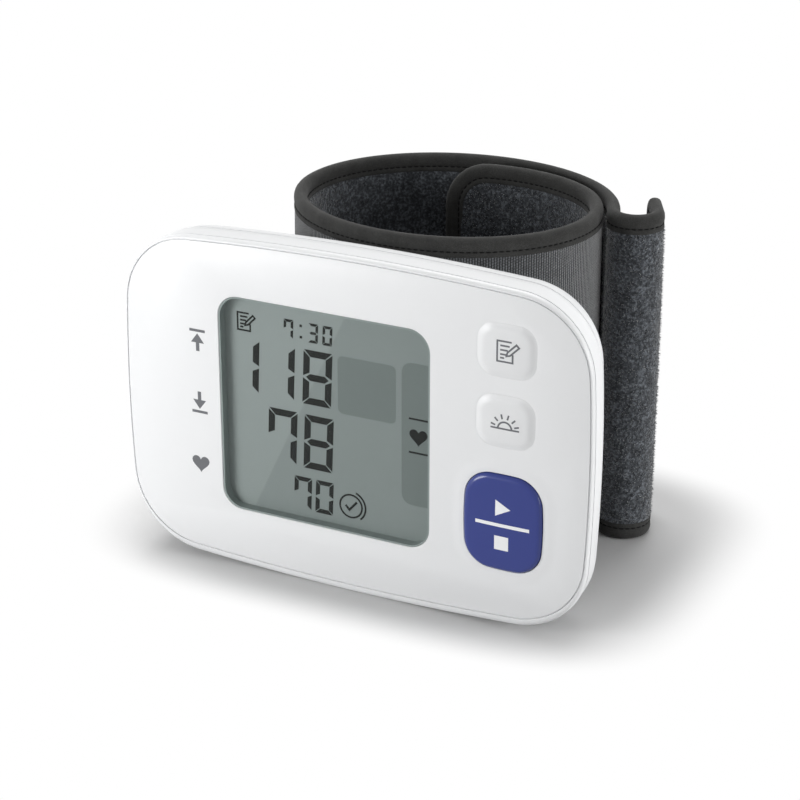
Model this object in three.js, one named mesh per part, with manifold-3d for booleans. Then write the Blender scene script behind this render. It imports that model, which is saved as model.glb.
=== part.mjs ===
// A wrist blood pressure monitor: a slim two-shell case with a display and three buttons,
// and a soft cuff that leaves the back of the case, goes round the wrist and closes on itself.
// Millimetres. X runs to the right seen from the front, Y to the back, Z up.
// While it is built, y = 0 is the front face, x = 0 the middle of the case and z = 0 the table.
import * as THREE from 'three';
import { mergeVertices } from 'three/addons/utils/BufferGeometryUtils.js';
import Module from 'manifold-3d';

const wasm = await Module();
wasm.setup();

// Case
const CASE_WIDTH = 91;
const CASE_HEIGHT = 63.4;
const CASE_DEPTH = 13.4;
const CASE_CORNER = 14.2;
const CASE_LONG_BULGE = 500;
const CASE_SIDE_BULGE = 300;
const WALL = 1.6;
const RIM_WIDTH = 1;
const RIM_DEPTH = 1.1;
const RIM_EDGE = 0.3;
const RIM_EDGE_INSET = 0.4;
const INNER_CHAMFER = 0.6;
const PARTING_Y = 5.6;
const SEAM = 0.3;
const TONGUE_LENGTH = 1.4;
const TONGUE_WIDTH = 1;
const REAR_ROUNDING = 6.4;
const COVER_END_DRAFT = 0.45;
const REAR_END_DRAFT = 1;

// Clearances
const FIT = 0.2;
const KEY_CLEARANCE = 0.25;
const SEAT = 0.3;

// Display
const WINDOW_LEFT = 19.7;
const WINDOW_RIGHT = 30;
const WINDOW_ABOVE = 10.9;
const WINDOW_BELOW = 11.7;
const WINDOW_CORNER = 4;
const WINDOW_RECESS = 0.25;
const WINDOW_THICKNESS = 0.7;
const WINDOW_LEDGE = 1.2;
const PANEL_MARGIN = 1.5;
const PANEL_THICKNESS = 1.2;
const PANEL_CORNER = 0.5;
const HOLDER_RIM = 1.2;
const HOLDER_PLATE = 1.1;
const STRIP_MARGIN = 5.5;
const STRIP_WIDTH = 1.6;

// Buttons: a column at the right, the white ones set from the top and the blue one from the bottom
const KEY_COLUMN = 15.9;
const KEY_FLANGE = 1;
const KEY_FLANGE_THICKNESS = 0.7;
const KEY_TRAVEL = 0.7;
const KEY_BULGE = 60;
const KEY_EDGE = 1.2;
const SMALL_KEY_WIDTH = 10.9;
const SMALL_KEY_HEIGHT = 9.6;
const SMALL_KEY_CORNER = 3.2;
const SMALL_KEY_PROUD = 0.9;
const MEMORY_KEY_BELOW_TOP = 11.7;
const MORNING_KEY_BELOW_TOP = 24.4;
const START_KEY_WIDTH = 14.6;
const START_KEY_CORNER = 5;
const START_KEY_PROUD = 1;
const START_KEY_ABOVE_BOTTOM = 11.45;
const START_KEY_BELOW_TOP = 34.05;

// Main board and what stands on it
const BOARD_THICKNESS = 1.2;
const BOARD_STRIP = 9;
const SWITCH_SIZE = 5;
const SWITCH_BODY = 1.3;
const PLUNGER_RADIUS = 1.2;
const PLUNGER_HEIGHT = 0.5;
const MAT_THICKNESS = 0.8;
const MAT_MARGIN = 1;
const CHIP_SIZE = 10;
const CHIP_HEIGHT = 1.2;
const SENSOR_SIZE = 7;
const SENSOR_HEIGHT = 3;
const BUZZER_RADIUS = 5;
const BUZZER_HEIGHT = 2.4;

// Pump, valve and air ways
const PUMP_WIDTH = 10;
const MOTOR_LENGTH = 13;
const PUMP_HEAD_LENGTH = 11.5;
const MOTOR_FLAT = 1;
const PUMP_HEAD_ROUNDING = 1;
const PUMP_TUBE_DROP = 7;
const VALVE_LENGTH = 9.5;
const VALVE_WIDTH = 7;
const MANIFOLD_WIDTH = 8;
const MANIFOLD_HEIGHT = 5;
const NOZZLE_RADIUS = 1.2;
const NOZZLE_LENGTH = 2.2;
const AIR_TUBE_RADIUS = 1.5;
const CUFF_NOZZLE_RADIUS = 1.7;
const CUFF_NOZZLE_BORE = 0.8;

// Power
const CELL_RADIUS = 5.1;
const CELL_LENGTH = 44.5;
const CELL_BEVEL = 0.5;
const CELL_NUB_RADIUS = 1.9;
const CELL_NUB = 1;
const CELL_SPACING = 10.9;
const CONTACT_PLATE = 0.5;
const CONTACT_MARGIN = 1;
const SPRING_HEIGHT = 3;
const SPRING_RADIUS = 3.6;
const SPRING_TIP_RADIUS = 2.2;
const SPRING_TURNS = 2;
const SPRING_WIRE = 0.3;
const BAY_WALL = 1.4;
const BAY_LEFT = 2;
const BAY_DROP = 1.5;
const BAY_CORNER = 3;
const BATTERY_COVER_THICKNESS = 1.4;

// Fasteners
const SCREW_HEAD_RADIUS = 1.75;
const SCREW_HEAD = 0.9;
const SCREW_RADIUS = 0.95;
const SCREW_LENGTH = 4.6;
const BOSS_RADIUS = 1.8;
const POST_WALL = 1;
const BOSS_FROM_EDGE = 5.3;
const BOSS_ANGLE = 25;
const BOARD_SCREW_HEAD_RADIUS = 1.4;
const BOARD_SCREW_HEAD = 0.8;
const BOARD_SCREW_RADIUS = 0.7;
const BOARD_BOSS_WALL = 0.8;
const RIVET_RADIUS = 1.2;
const RIVET_HEAD_RADIUS = 2;
const RIVET_HEAD = 0.45;
const RIVET_SPACING = 9;

// Cuff: layers from the outside in, and the plan of the band
const CUFF_ABOVE_TOP = 0.2;
const CLOTH = 0.45;
const CURLER = 0.45;
const BLADDER = 0.5;
const LINING = 0.45;
const LAYER_GAP = 0.12;
const HOOK_PATCH = 0.35;
const HOOK_PATCH_MARGIN = 4;
const HOOK_PATCH_TURN = 22;
const HOOK_PATCH_SWEEP = 42;
const BINDING_HEIGHT = 3.3;
const BINDING_PROUD = 0.12;
const LOOP_X = 1;
const LOOP_HALF_WIDTH = 27.8;
const LOOP_HALF_DEPTH = 23.7;
const WRAP_CLEARANCE = 0.6;
const START_TURN = -24;
const INNER_END_LEAN = 3.6;
const LEAN_TURN = 60;
const HINGE_TURN = 248;
const PEEL_TURN = 388;
const LEAVE_TURN = 436;
const HOOK_RADIUS = 4;
const HOOK_SWEEP = 189;
const TAIL_STRAIGHT = 9.5;
const INNER_END_CORNER = 8;
const TAIL_END_CORNER = 4;
const BODY_GAP = 0.3;
const CRADLE_INNER = 9;
const CRADLE_REACH = 17;
const CRADLE_HEIGHT = 43;
const CRADLE_CLEARANCE = 0.8;

// Levels and places worked out from the sizes above
const MID_Z = CASE_HEIGHT / 2;
const RIGHT = CASE_WIDTH / 2;
const REAR_INNER = CASE_DEPTH - WALL;
const WINDOW_WIDTH = CASE_WIDTH - WINDOW_LEFT - WINDOW_RIGHT;
const WINDOW_X = -RIGHT + WINDOW_LEFT + WINDOW_WIDTH / 2;
const WINDOW_HEIGHT = CASE_HEIGHT - WINDOW_ABOVE - WINDOW_BELOW;
const WINDOW_Z = WINDOW_BELOW + WINDOW_HEIGHT / 2;
const PANEL_WIDTH = WINDOW_WIDTH + 2 * PANEL_MARGIN;
const PANEL_HEIGHT = WINDOW_HEIGHT + 2 * PANEL_MARGIN;
const PANEL_FRONT = WALL + SEAT;
const HOLDER_FRONT = PANEL_FRONT + PANEL_THICKNESS + FIT;
const HOLDER_BACK = HOLDER_FRONT + HOLDER_PLATE;
const HOLDER_WIDTH = PANEL_WIDTH + 2 * (SEAT + HOLDER_RIM);
const HOLDER_HEIGHT = PANEL_HEIGHT + 2 * (SEAT + HOLDER_RIM);
const KEY_X = RIGHT - KEY_COLUMN;
const START_KEY_HEIGHT = CASE_HEIGHT - START_KEY_ABOVE_BOTTOM - START_KEY_BELOW_TOP;
const SMALL_KEY = {
  width: SMALL_KEY_WIDTH,
  height: SMALL_KEY_HEIGHT,
  corner: SMALL_KEY_CORNER,
  proud: SMALL_KEY_PROUD,
  color: 0xf1f2f2,
};
const KEYS = {
  memory: { ...SMALL_KEY, z: CASE_HEIGHT - MEMORY_KEY_BELOW_TOP },
  morning: { ...SMALL_KEY, z: CASE_HEIGHT - MORNING_KEY_BELOW_TOP },
  start_stop: {
    width: START_KEY_WIDTH,
    height: START_KEY_HEIGHT,
    corner: START_KEY_CORNER,
    proud: START_KEY_PROUD,
    color: 0x333f94,
    z: START_KEY_ABOVE_BOTTOM + START_KEY_HEIGHT / 2,
  },
};
const FLANGE_FRONT = WALL + SEAT;
const FLANGE_BACK = FLANGE_FRONT + KEY_FLANGE_THICKNESS;
const PLUNGER_FRONT = FLANGE_BACK + KEY_TRAVEL + SEAT;
const SWITCH_FRONT = PLUNGER_FRONT + PLUNGER_HEIGHT;
const SWITCH_BACK = SWITCH_FRONT + SWITCH_BODY;
const BOARD_FRONT = SWITCH_BACK + FIT;
const BOARD_BACK = BOARD_FRONT + BOARD_THICKNESS;
const ON_BOARD = BOARD_BACK + FIT;
const AIR_FRONT = HOLDER_BACK + SEAT;
const AIR_BACK = REAR_INNER - SEAT - RIVET_HEAD - FIT;
const AIR_Y = (AIR_FRONT + AIR_BACK) / 2;
const TUBE_Y = ON_BOARD + AIR_TUBE_RADIUS;
const CUFF_HEIGHT = CASE_HEIGHT + CUFF_ABOVE_TOP;
const BAND = CLOTH + CURLER + BLADDER + LINING + 3 * LAYER_GAP;
const LAYER_PITCH = BAND + 2 * BINDING_PROUD + WRAP_CLEARANCE;
const LOOP_Y = CASE_DEPTH + SEAT + BAND / 2 + LOOP_HALF_DEPTH;
const BAY_X0 = -RIGHT + BAY_LEFT;
const CELL_X = BAY_X0 + BAY_WALL + SEAT + CELL_RADIUS;
const BAY_X1 = CELL_X + CELL_SPACING + CELL_RADIUS + SEAT + BAY_WALL;
const BAY_INNER_HEIGHT = CELL_LENGTH + SPRING_HEIGHT + 2 * CONTACT_PLATE + 5 * FIT;
const BAY_MID_Z = MID_Z - BAY_DROP;
const BAY_FLOOR_Z = BAY_MID_Z - BAY_INNER_HEIGHT / 2;
const BAY_FRONT = HOLDER_BACK + SEAT + FIT;
const CELL_Y = BAY_FRONT + BAY_WALL + SEAT + CELL_RADIUS;
const BAY_RIM = CELL_Y + CELL_RADIUS + FIT;
const COVER_FRONT = BAY_RIM + SEAT;
const PANEL_RIGHT = WINDOW_X + PANEL_WIDTH / 2;
const STRIP_LENGTH = PANEL_RIGHT - BAY_X1 - 2 * STRIP_MARGIN;
const STRIP_X = (PANEL_RIGHT + BAY_X1) / 2;
const CRADLE_OUTER = Math.min(CRADLE_REACH, LOOP_X - BAY_X1 - 2 * SEAT);

// Solids: joins, cuts and simple shapes, placed where they belong

function toSolid(geometry) {
  const bare = geometry.clone();
  bare.deleteAttribute('normal');
  bare.deleteAttribute('uv');
  const welded = mergeVertices(bare);
  const mesh = new wasm.Mesh({
    numProp: 3,
    vertProperties: new Float32Array(welded.attributes.position.array),
    triVerts: new Uint32Array(welded.index.array),
  });
  return new wasm.Manifold(mesh);
}

function toGeometry(solid) {
  const mesh = solid.getMesh();
  const geometry = new THREE.BufferGeometry();
  geometry.setAttribute('position', new THREE.BufferAttribute(mesh.vertProperties, mesh.numProp));
  geometry.setIndex(new THREE.BufferAttribute(mesh.triVerts, 1));
  geometry.computeVertexNormals();
  return geometry;
}

function carve(base, { keep = [], add = [], cut = [] }) {
  let solid = toSolid(base);
  for (const geometry of keep) {
    solid = solid.intersect(toSolid(geometry));
  }
  for (const geometry of add) {
    solid = solid.add(toSolid(geometry));
  }
  for (const geometry of cut) {
    solid = solid.subtract(toSolid(geometry));
  }
  return toGeometry(solid);
}

// A skin over rings of equal count, closed by a flat cap at each end
function loft(rings) {
  const count = rings[0].length;
  const position = rings.flat().flatMap((p) => [p.x, p.y, p.z]);
  const index = [];
  for (let ring = 0; ring + 1 < rings.length; ring += 1) {
    for (let i = 0; i < count; i += 1) {
      const a = ring * count + i;
      const b = ring * count + ((i + 1) % count);
      index.push(a, b, b + count, a, b + count, a + count);
    }
  }
  const last = (rings.length - 1) * count;
  for (let i = 1; i + 1 < count; i += 1) {
    index.push(0, i + 1, i);
    index.push(last, last + i, last + i + 1);
  }
  const geometry = new THREE.BufferGeometry();
  geometry.setAttribute('position', new THREE.Float32BufferAttribute(position, 3));
  geometry.setIndex(isInsideOut(position, index) ? index.reverse() : index);
  geometry.computeVertexNormals();
  return geometry;
}

function isInsideOut(position, index) {
  const corner = (i) => new THREE.Vector3().fromArray(position, index[i] * 3);
  let volume = 0;
  for (let i = 0; i < index.length; i += 3) {
    volume += corner(i).dot(corner(i + 1).cross(corner(i + 2)));
  }
  return volume < 0;
}

function block(x0, x1, y0, y1, z0, z1) {
  const geometry = new THREE.BoxGeometry(x1 - x0, y1 - y0, z1 - z0);
  return geometry.translate((x0 + x1) / 2, (y0 + y1) / 2, (z0 + z1) / 2);
}

// A round bar along the depth of the case
function rod(x, z, radius, y0, y1, sides = 16) {
  const geometry = new THREE.CylinderGeometry(radius, radius, y1 - y0, sides);
  return geometry.translate(x, (y0 + y1) / 2, z);
}

// A plate of the given outline, drawn in x and z, from y0 back to y1
function plate(shape, y0, y1) {
  const settings = { depth: y1 - y0, bevelEnabled: false, curveSegments: 3 };
  const geometry = new THREE.ExtrudeGeometry(shape, settings);
  return geometry.rotateX(Math.PI / 2).translate(0, y1, 0);
}

// A column whose section is drawn in x and y, from z0 up to z1
function column(shape, z0, z1) {
  const settings = { depth: z1 - z0, bevelEnabled: false, curveSegments: 3 };
  const geometry = new THREE.ExtrudeGeometry(shape, settings);
  return geometry.translate(0, 0, z0);
}

const DOWN = new THREE.Vector3(0, 0, -1);
const TO_RIGHT = new THREE.Vector3(1, 0, 0);

// A short round nipple that stands on a face and takes an air tube
function nozzle(x, y, z, direction) {
  const geometry = new THREE.CylinderGeometry(NOZZLE_RADIUS, NOZZLE_RADIUS, NOZZLE_LENGTH + FIT, 12);
  const upright = new THREE.Vector3(0, 1, 0);
  geometry.applyQuaternion(new THREE.Quaternion().setFromUnitVectors(upright, direction));
  const middle = (NOZZLE_LENGTH - FIT) / 2;
  return geometry.translate(x + direction.x * middle, y, z + direction.z * middle);
}

function roundedRectangle(x, z, width, height, radius) {
  const right = x + width / 2 - radius;
  const left = x - width / 2 + radius;
  const top = z + height / 2 - radius;
  const bottom = z - height / 2 + radius;
  const shape = new THREE.Shape();
  shape.absarc(right, top, radius, 0, Math.PI / 2);
  shape.absarc(left, top, radius, Math.PI / 2, Math.PI);
  shape.absarc(left, bottom, radius, Math.PI, Math.PI * 1.5);
  shape.absarc(right, bottom, radius, Math.PI * 1.5, Math.PI * 2);
  shape.closePath();
  return shape;
}

// A tube along a curve
function tube(curve, radius, steps, sides = 8) {
  const section = new THREE.Shape();
  section.absarc(0, 0, radius, 0, Math.PI * 2);
  const options = { extrudePath: curve, steps, curveSegments: sides / 2, bevelEnabled: false };
  return new THREE.ExtrudeGeometry(section, options);
}

// Outlines with gently bulged sides: four flat arcs joined by four corner arcs

const SIDE_STEPS = 5;
const CORNER_STEPS = 5;

// The middle of the upper right corner arc, where it touches both neighbours from the inside
function cornerCentre({ width, height, longBulge, sideBulge, corner }) {
  const top = new THREE.Vector2(0, height / 2 - longBulge);
  const side = new THREE.Vector2(width / 2 - sideBulge, 0);
  const toTop = longBulge - corner;
  const toSide = sideBulge - corner;
  const across = side.clone().sub(top);
  const gap = across.length();
  const along = (toTop ** 2 - toSide ** 2 + gap ** 2) / (2 * gap);
  const off = Math.sqrt(toTop ** 2 - along ** 2);
  const unit = across.divideScalar(gap);
  const foot = top.add(unit.clone().multiplyScalar(along));
  const normal = new THREE.Vector2(-unit.y, unit.x);
  const sign = normal.x + normal.y > 0 ? 1 : -1;
  return foot.add(normal.multiplyScalar(sign * off));
}

function bulgedOutline(form, inset = 0) {
  const centre = cornerCentre(form);
  const { width, height, longBulge, sideBulge, corner } = form;
  const sideAngle = Math.atan2(centre.y, centre.x - (width / 2 - sideBulge));
  const topAngle = Math.atan2(centre.y - (height / 2 - longBulge), centre.x);
  const points = [];
  const arc = (x, z, radius, from, to, steps) => {
    for (let i = 0; i < steps; i += 1) {
      const angle = from + ((to - from) * i) / steps;
      const reach = radius - inset;
      points.push(new THREE.Vector2(x + reach * Math.cos(angle), z + reach * Math.sin(angle)));
    }
  };
  const half = Math.PI;
  arc(width / 2 - sideBulge, 0, sideBulge, -sideAngle, sideAngle, SIDE_STEPS);
  arc(centre.x, centre.y, corner, sideAngle, topAngle, CORNER_STEPS);
  arc(0, height / 2 - longBulge, longBulge, topAngle, half - topAngle, SIDE_STEPS);
  arc(-centre.x, centre.y, corner, half - topAngle, half - sideAngle, CORNER_STEPS);
  arc(-width / 2 + sideBulge, 0, sideBulge, half - sideAngle, half + sideAngle, SIDE_STEPS);
  arc(-centre.x, -centre.y, corner, half + sideAngle, half + topAngle, CORNER_STEPS);
  arc(0, -height / 2 + longBulge, longBulge, half + topAngle, 2 * half - topAngle, SIDE_STEPS);
  arc(centre.x, -centre.y, corner, 2 * half - topAngle, 2 * half - sideAngle, CORNER_STEPS);
  return points;
}

// Sections of one outline stacked from front to back, each as [y, inset, narrowing of both ends]
function stack(form, x, z, sections) {
  const rings = sections.map(([y, inset, narrowing = 0]) => {
    const points = bulgedOutline({ ...form, width: form.width - 2 * narrowing }, inset);
    return points.map((p) => new THREE.Vector3(x + p.x, y, z + p.y));
  });
  return loft(rings);
}

const caseForm = {
  width: CASE_WIDTH,
  height: CASE_HEIGHT,
  longBulge: CASE_LONG_BULGE,
  sideBulge: CASE_SIDE_BULGE,
  corner: CASE_CORNER,
};

function keyForm(key, clearance = 0) {
  return {
    width: key.width + 2 * clearance,
    height: key.height + 2 * clearance,
    longBulge: KEY_BULGE,
    sideBulge: KEY_BULGE,
    corner: key.corner + clearance,
  };
}

// Cuff plan: a spiral from the inner end at the back, clockwise seen from above,
// past the right side, the front and the left side to the back again, then the hooked tail.
// The inner end stands off the wrap and leans towards the wrist.

const POINTS_PER_TURN = 360;
const TURN_ANGLE = 360 / POINTS_PER_TURN;

function spiralPoint(turn) {
  const leanShare = Math.max(0, (LEAN_TURN - turn) / (LEAN_TURN - START_TURN));
  const growth = (LAYER_PITCH * (turn - 180)) / 360 - INNER_END_LEAN * leanShare ** 1.5;
  const angle = THREE.MathUtils.degToRad(turn);
  const x = LOOP_X + (LOOP_HALF_WIDTH + growth) * Math.sin(angle);
  const y = LOOP_Y + (LOOP_HALF_DEPTH + growth) * Math.cos(angle);
  return new THREE.Vector2(x, y);
}

function planPoints() {
  const points = [];
  for (let turn = START_TURN; turn <= LEAVE_TURN; turn += TURN_ANGLE) {
    points.push(spiralPoint(turn));
  }
  const leave = spiralPoint(LEAVE_TURN);
  const heading = leave.clone().sub(spiralPoint(LEAVE_TURN - TURN_ANGLE)).angle();
  const aside = new THREE.Vector2(-Math.sin(heading), Math.cos(heading));
  const hookCentre = aside.multiplyScalar(HOOK_RADIUS).add(leave);
  const hookSteps = Math.round(HOOK_SWEEP / 8);
  for (let i = 1; i <= hookSteps; i += 1) {
    const angle = heading - Math.PI / 2 + (THREE.MathUtils.degToRad(HOOK_SWEEP) * i) / hookSteps;
    const outward = new THREE.Vector2(Math.cos(angle), Math.sin(angle));
    points.push(outward.multiplyScalar(HOOK_RADIUS).add(hookCentre));
  }
  const out = heading + THREE.MathUtils.degToRad(HOOK_SWEEP);
  const end = new THREE.Vector2(Math.cos(out), Math.sin(out)).multiplyScalar(TAIL_STRAIGHT);
  points.push(end.add(points[points.length - 1]));
  return points;
}

const plan = planPoints();
const planLength = [0];
for (let i = 1; i < plan.length; i += 1) {
  planLength.push(planLength[i - 1] + plan[i].distanceTo(plan[i - 1]));
}
const lengthAtTurn = (turn) => planLength[Math.round((turn - START_TURN) / TURN_ANGLE)];
const HINGE_AT = lengthAtTurn(HINGE_TURN);
const PEEL_AT = lengthAtTurn(PEEL_TURN);
const LEAVE_AT = lengthAtTurn(LEAVE_TURN);
const TAIL_END = planLength[planLength.length - 1];

// Place, direction and outward side of the band at a length along it
function bandAt(length) {
  const after = planLength.findIndex((value) => value >= length);
  const i = Math.min(Math.max(after, 1), plan.length - 1);
  const share = (length - planLength[i - 1]) / (planLength[i] - planLength[i - 1]);
  const point = plan[i - 1].clone().lerp(plan[i], share);
  const before = plan[Math.max(i - 2, 0)];
  const beyond = plan[Math.min(i + 1, plan.length - 1)];
  const along = beyond.clone().sub(before).normalize();
  return { point, along, out: new THREE.Vector2(-along.y, along.x) };
}

const BAND_STEP = 5;
const HOOK_STEP = 1.5;

function stations(from, to) {
  const lengths = [];
  const run = (a, b, step) => {
    const steps = Math.max(1, Math.round(Math.abs(b - a) / step));
    for (let i = 0; i < steps; i += 1) {
      lengths.push(a + ((b - a) * i) / steps);
    }
  };
  const low = Math.min(from, to);
  const high = Math.max(from, to);
  if (high > LEAVE_AT && low < LEAVE_AT) {
    run(low, LEAVE_AT, BAND_STEP);
    run(LEAVE_AT, high, HOOK_STEP);
  } else {
    run(low, high, low >= LEAVE_AT ? HOOK_STEP : BAND_STEP);
  }
  lengths.push(high);
  return from < to ? lengths : lengths.reverse();
}

// One layer of the band between two offsets from its middle, inside the binding
const EDGE = BINDING_HEIGHT + FIT;
const ROUND_STEPS = 4;

function strip(from, to, outer, inner, { low = EDGE, roundStart = 0, roundEnd = 0 } = {}) {
  const startRadius = Math.max(roundStart - EDGE, 0);
  const endRadius = Math.max(roundEnd - EDGE, 0);
  const lengths = [];
  for (let i = 0; i < ROUND_STEPS && startRadius > 0; i += 1) {
    lengths.push(from + startRadius * (1 - Math.cos((Math.PI / 2) * (i / ROUND_STEPS))));
  }
  lengths.push(...stations(from + startRadius, to - endRadius));
  for (let i = 1; i <= ROUND_STEPS && endRadius > 0; i += 1) {
    lengths.push(to - endRadius * (1 - Math.sin((Math.PI / 2) * (i / ROUND_STEPS))));
  }
  const arc = (radius, inside) => radius - Math.sqrt(radius ** 2 - (radius - inside) ** 2);
  const drop = (radius, inside) => (inside >= radius ? 0 : arc(radius, inside));
  const rings = lengths.map((length) => {
    const { point, out } = bandAt(length);
    const cut = Math.max(drop(startRadius, length - from), drop(endRadius, to - length));
    const corner = (offset, z) => new THREE.Vector3(point.x + out.x * offset, point.y + out.y * offset, z);
    const top = CUFF_HEIGHT - low - cut;
    const bottom = low + cut;
    return [corner(outer, bottom), corner(outer, top), corner(inner, top), corner(inner, bottom)];
  });
  return loft(rings);
}

// The folded edge tape: an eight-sided section swept along points of [length along the band, z]
const BINDING_SIDES = 8;

function binding(path) {
  const flat = Math.cos(Math.PI / BINDING_SIDES);
  const halfWidth = (BAND / 2 + BINDING_PROUD) / flat;
  const halfHeight = BINDING_HEIGHT / 2 / flat;
  const rings = path.map(([length, z], i) => {
    const [lengthBefore, zBefore] = path[Math.max(i - 1, 0)];
    const [lengthAfter, zAfter] = path[Math.min(i + 1, path.length - 1)];
    const run = Math.hypot(lengthAfter - lengthBefore, zAfter - zBefore);
    const sideways = -(zAfter - zBefore) / run;
    const upright = (lengthAfter - lengthBefore) / run;
    const { point, along, out } = bandAt(length);
    const ring = [];
    for (let side = 0; side < BINDING_SIDES; side += 1) {
      const angle = (Math.PI * 2 * (side + 0.5)) / BINDING_SIDES;
      const across = halfWidth * Math.cos(angle);
      const height = halfHeight * Math.sin(angle);
      const x = point.x + out.x * across + along.x * sideways * height;
      const y = point.y + out.y * across + along.y * sideways * height;
      ring.push(new THREE.Vector3(x, y, z + upright * height));
    }
    return ring;
  });
  return loft(rings);
}

const BINDING_LOW = BINDING_HEIGHT / 2;
const BINDING_HIGH = CUFF_HEIGHT - BINDING_HEIGHT / 2;

function straightBinding(from, to, z) {
  return binding(stations(from, to).map((length) => [length, z]));
}

// Along the top to the rounded end of the band, down the end and back along the bottom
function endBinding(open, end, cornerRadius) {
  const toEnd = Math.sign(end - open);
  const radius = cornerRadius - BINDING_HEIGHT / 2;
  const turnAt = end - toEnd * cornerRadius;
  const path = stations(open, turnAt).map((length) => [length, BINDING_HIGH]);
  const steps = 5;
  for (let i = 1; i <= steps; i += 1) {
    const angle = (Math.PI / 2) * (i / steps);
    path.push([turnAt + toEnd * radius * Math.sin(angle), BINDING_HIGH - radius * (1 - Math.cos(angle))]);
  }
  const lower = path.map(([length, z]) => [length, CUFF_HEIGHT - z]).reverse();
  return binding([...path, ...lower]);
}

// Screws and rivets: a head and a shank in one turned profile along the depth

function turned(profile, x, z, y, sides = 14) {
  const points = profile.map(([radius, along]) => new THREE.Vector2(radius, along));
  return new THREE.LatheGeometry(points, sides).translate(x, y, z);
}

function screw(x, z, headFront, { headRadius, head, radius, length }) {
  const shank = [[0, -length], [radius, -length], [radius, 0]];
  const profile = [...shank, [headRadius, 0], [headRadius, head], [0, head]];
  return turned(profile, x, z, headFront);
}

// Assembly

const monitor = new THREE.Group();

function group(name) {
  const made = new THREE.Group();
  made.name = name;
  monitor.add(made);
  return made;
}

function piece(parent, name, geometry, color, roughness = 0.5, metalness = 0) {
  const mesh = new THREE.Mesh(geometry, new THREE.MeshStandardMaterial({ color, roughness, metalness }));
  mesh.name = name;
  parent.add(mesh);
}

const WHITE = 0xf2f3f3;
const STEEL = 0xb9bcc0;
const CLOTH_GREY = 0x4a4c50;
const LINING_GREY = 0x2b2e33;
const BINDING_GREY = 0x3d3c3a;

const corner = cornerCentre(caseForm);
const bossReach = CASE_CORNER - BOSS_FROM_EDGE;
const bossX = corner.x + bossReach * Math.cos(THREE.MathUtils.degToRad(BOSS_ANGLE));
const bossRise = corner.y + bossReach * Math.sin(THREE.MathUtils.degToRad(BOSS_ANGLE));
const leftBossX = BAY_X1 + SEAT + BOSS_RADIUS + WALL;
const edgeSag = CASE_LONG_BULGE - Math.sqrt(CASE_LONG_BULGE ** 2 - leftBossX ** 2);
const leftBossRise = MID_Z - BOSS_FROM_EDGE - edgeSag;
const caseScrewSpots = [
  [leftBossX, MID_Z + leftBossRise],
  [bossX, MID_Z + bossRise],
  [bossX, MID_Z - bossRise],
  [leftBossX, MID_Z - leftBossRise],
];
const SCREW_SEAT = REAR_INNER - FIT;
const BOSS_BACK = SCREW_SEAT - FIT - WALL + SEAT;
const POST_FRONT = BOSS_BACK + SEAT;
const boardBossRadius = BOARD_SCREW_RADIUS + BOARD_BOSS_WALL;
const boardScrewSpots = [
  [KEY_X + KEYS.start_stop.width / 2 + KEY_FLANGE + SEAT + boardBossRadius, MID_Z],
  [leftBossX + BOARD_SCREW_HEAD_RADIUS, WINDOW_Z - PANEL_HEIGHT / 2 + BOARD_STRIP / 2 + STRIP_WIDTH],
];
const rivetSpots = [MID_Z - RIVET_SPACING, MID_Z + RIVET_SPACING];
const keyList = Object.entries(KEYS);
const BEYOND = 2;

function frontCover() {
  const outer = stack(caseForm, 0, MID_Z, [
    [0, RIM_WIDTH],
    [RIM_EDGE, RIM_EDGE_INSET],
    [RIM_DEPTH, 0],
    [PARTING_Y - SEAM / 2, 0, COVER_END_DRAFT],
  ]);
  const hollow = stack(caseForm, 0, MID_Z, [
    [WALL, WALL + INNER_CHAMFER],
    [WALL + INNER_CHAMFER, WALL],
    [PARTING_Y + BEYOND, WALL],
  ]);
  const viewWidth = WINDOW_WIDTH - 2 * WINDOW_LEDGE;
  const viewHeight = WINDOW_HEIGHT - 2 * WINDOW_LEDGE;
  const viewCorner = WINDOW_CORNER - WINDOW_LEDGE;
  const view = roundedRectangle(WINDOW_X, WINDOW_Z, viewWidth, viewHeight, viewCorner);
  const seatWidth = WINDOW_WIDTH + 2 * FIT;
  const seatHeight = WINDOW_HEIGHT + 2 * FIT;
  const seat = roundedRectangle(WINDOW_X, WINDOW_Z, seatWidth, seatHeight, WINDOW_CORNER + FIT);
  const shell = toSolid(carve(outer, { cut: [hollow] }));
  const bosses = caseScrewSpots.map(([x, z]) => rod(x, z, BOSS_RADIUS, WALL - FIT, BOSS_BACK));
  const [boardX, boardZ] = boardScrewSpots[0];
  bosses.push(rod(boardX, boardZ, boardBossRadius, WALL - FIT, BOARD_FRONT - FIT));
  const cuts = [
    plate(view, -BEYOND, WALL + BEYOND),
    plate(seat, -BEYOND, WINDOW_RECESS + WINDOW_THICKNESS + FIT),
  ];
  for (const [, key] of keyList) {
    const opening = keyForm(key, KEY_CLEARANCE);
    cuts.push(stack(opening, KEY_X, key.z, [[-BEYOND, 0], [WALL + BEYOND, 0]]));
  }
  for (const [x, z] of caseScrewSpots) {
    cuts.push(rod(x, z, SCREW_RADIUS + FIT, SCREW_SEAT - SCREW_LENGTH - SEAT, BOSS_BACK + BEYOND));
  }
  cuts.push(rod(boardX, boardZ, BOARD_SCREW_RADIUS + FIT, WALL + SEAT, BOARD_FRONT + BEYOND));
  return carve(toGeometry(shell), { add: bosses, cut: cuts });
}

// The height above the back of the case at which the cuff's outer face lies
function cuffFaceAt(x) {
  const share = (x - LOOP_X) / (LOOP_HALF_WIDTH + BAND / 2);
  return LOOP_Y - (LOOP_HALF_DEPTH + BAND / 2) * Math.sqrt(1 - share ** 2);
}

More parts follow.
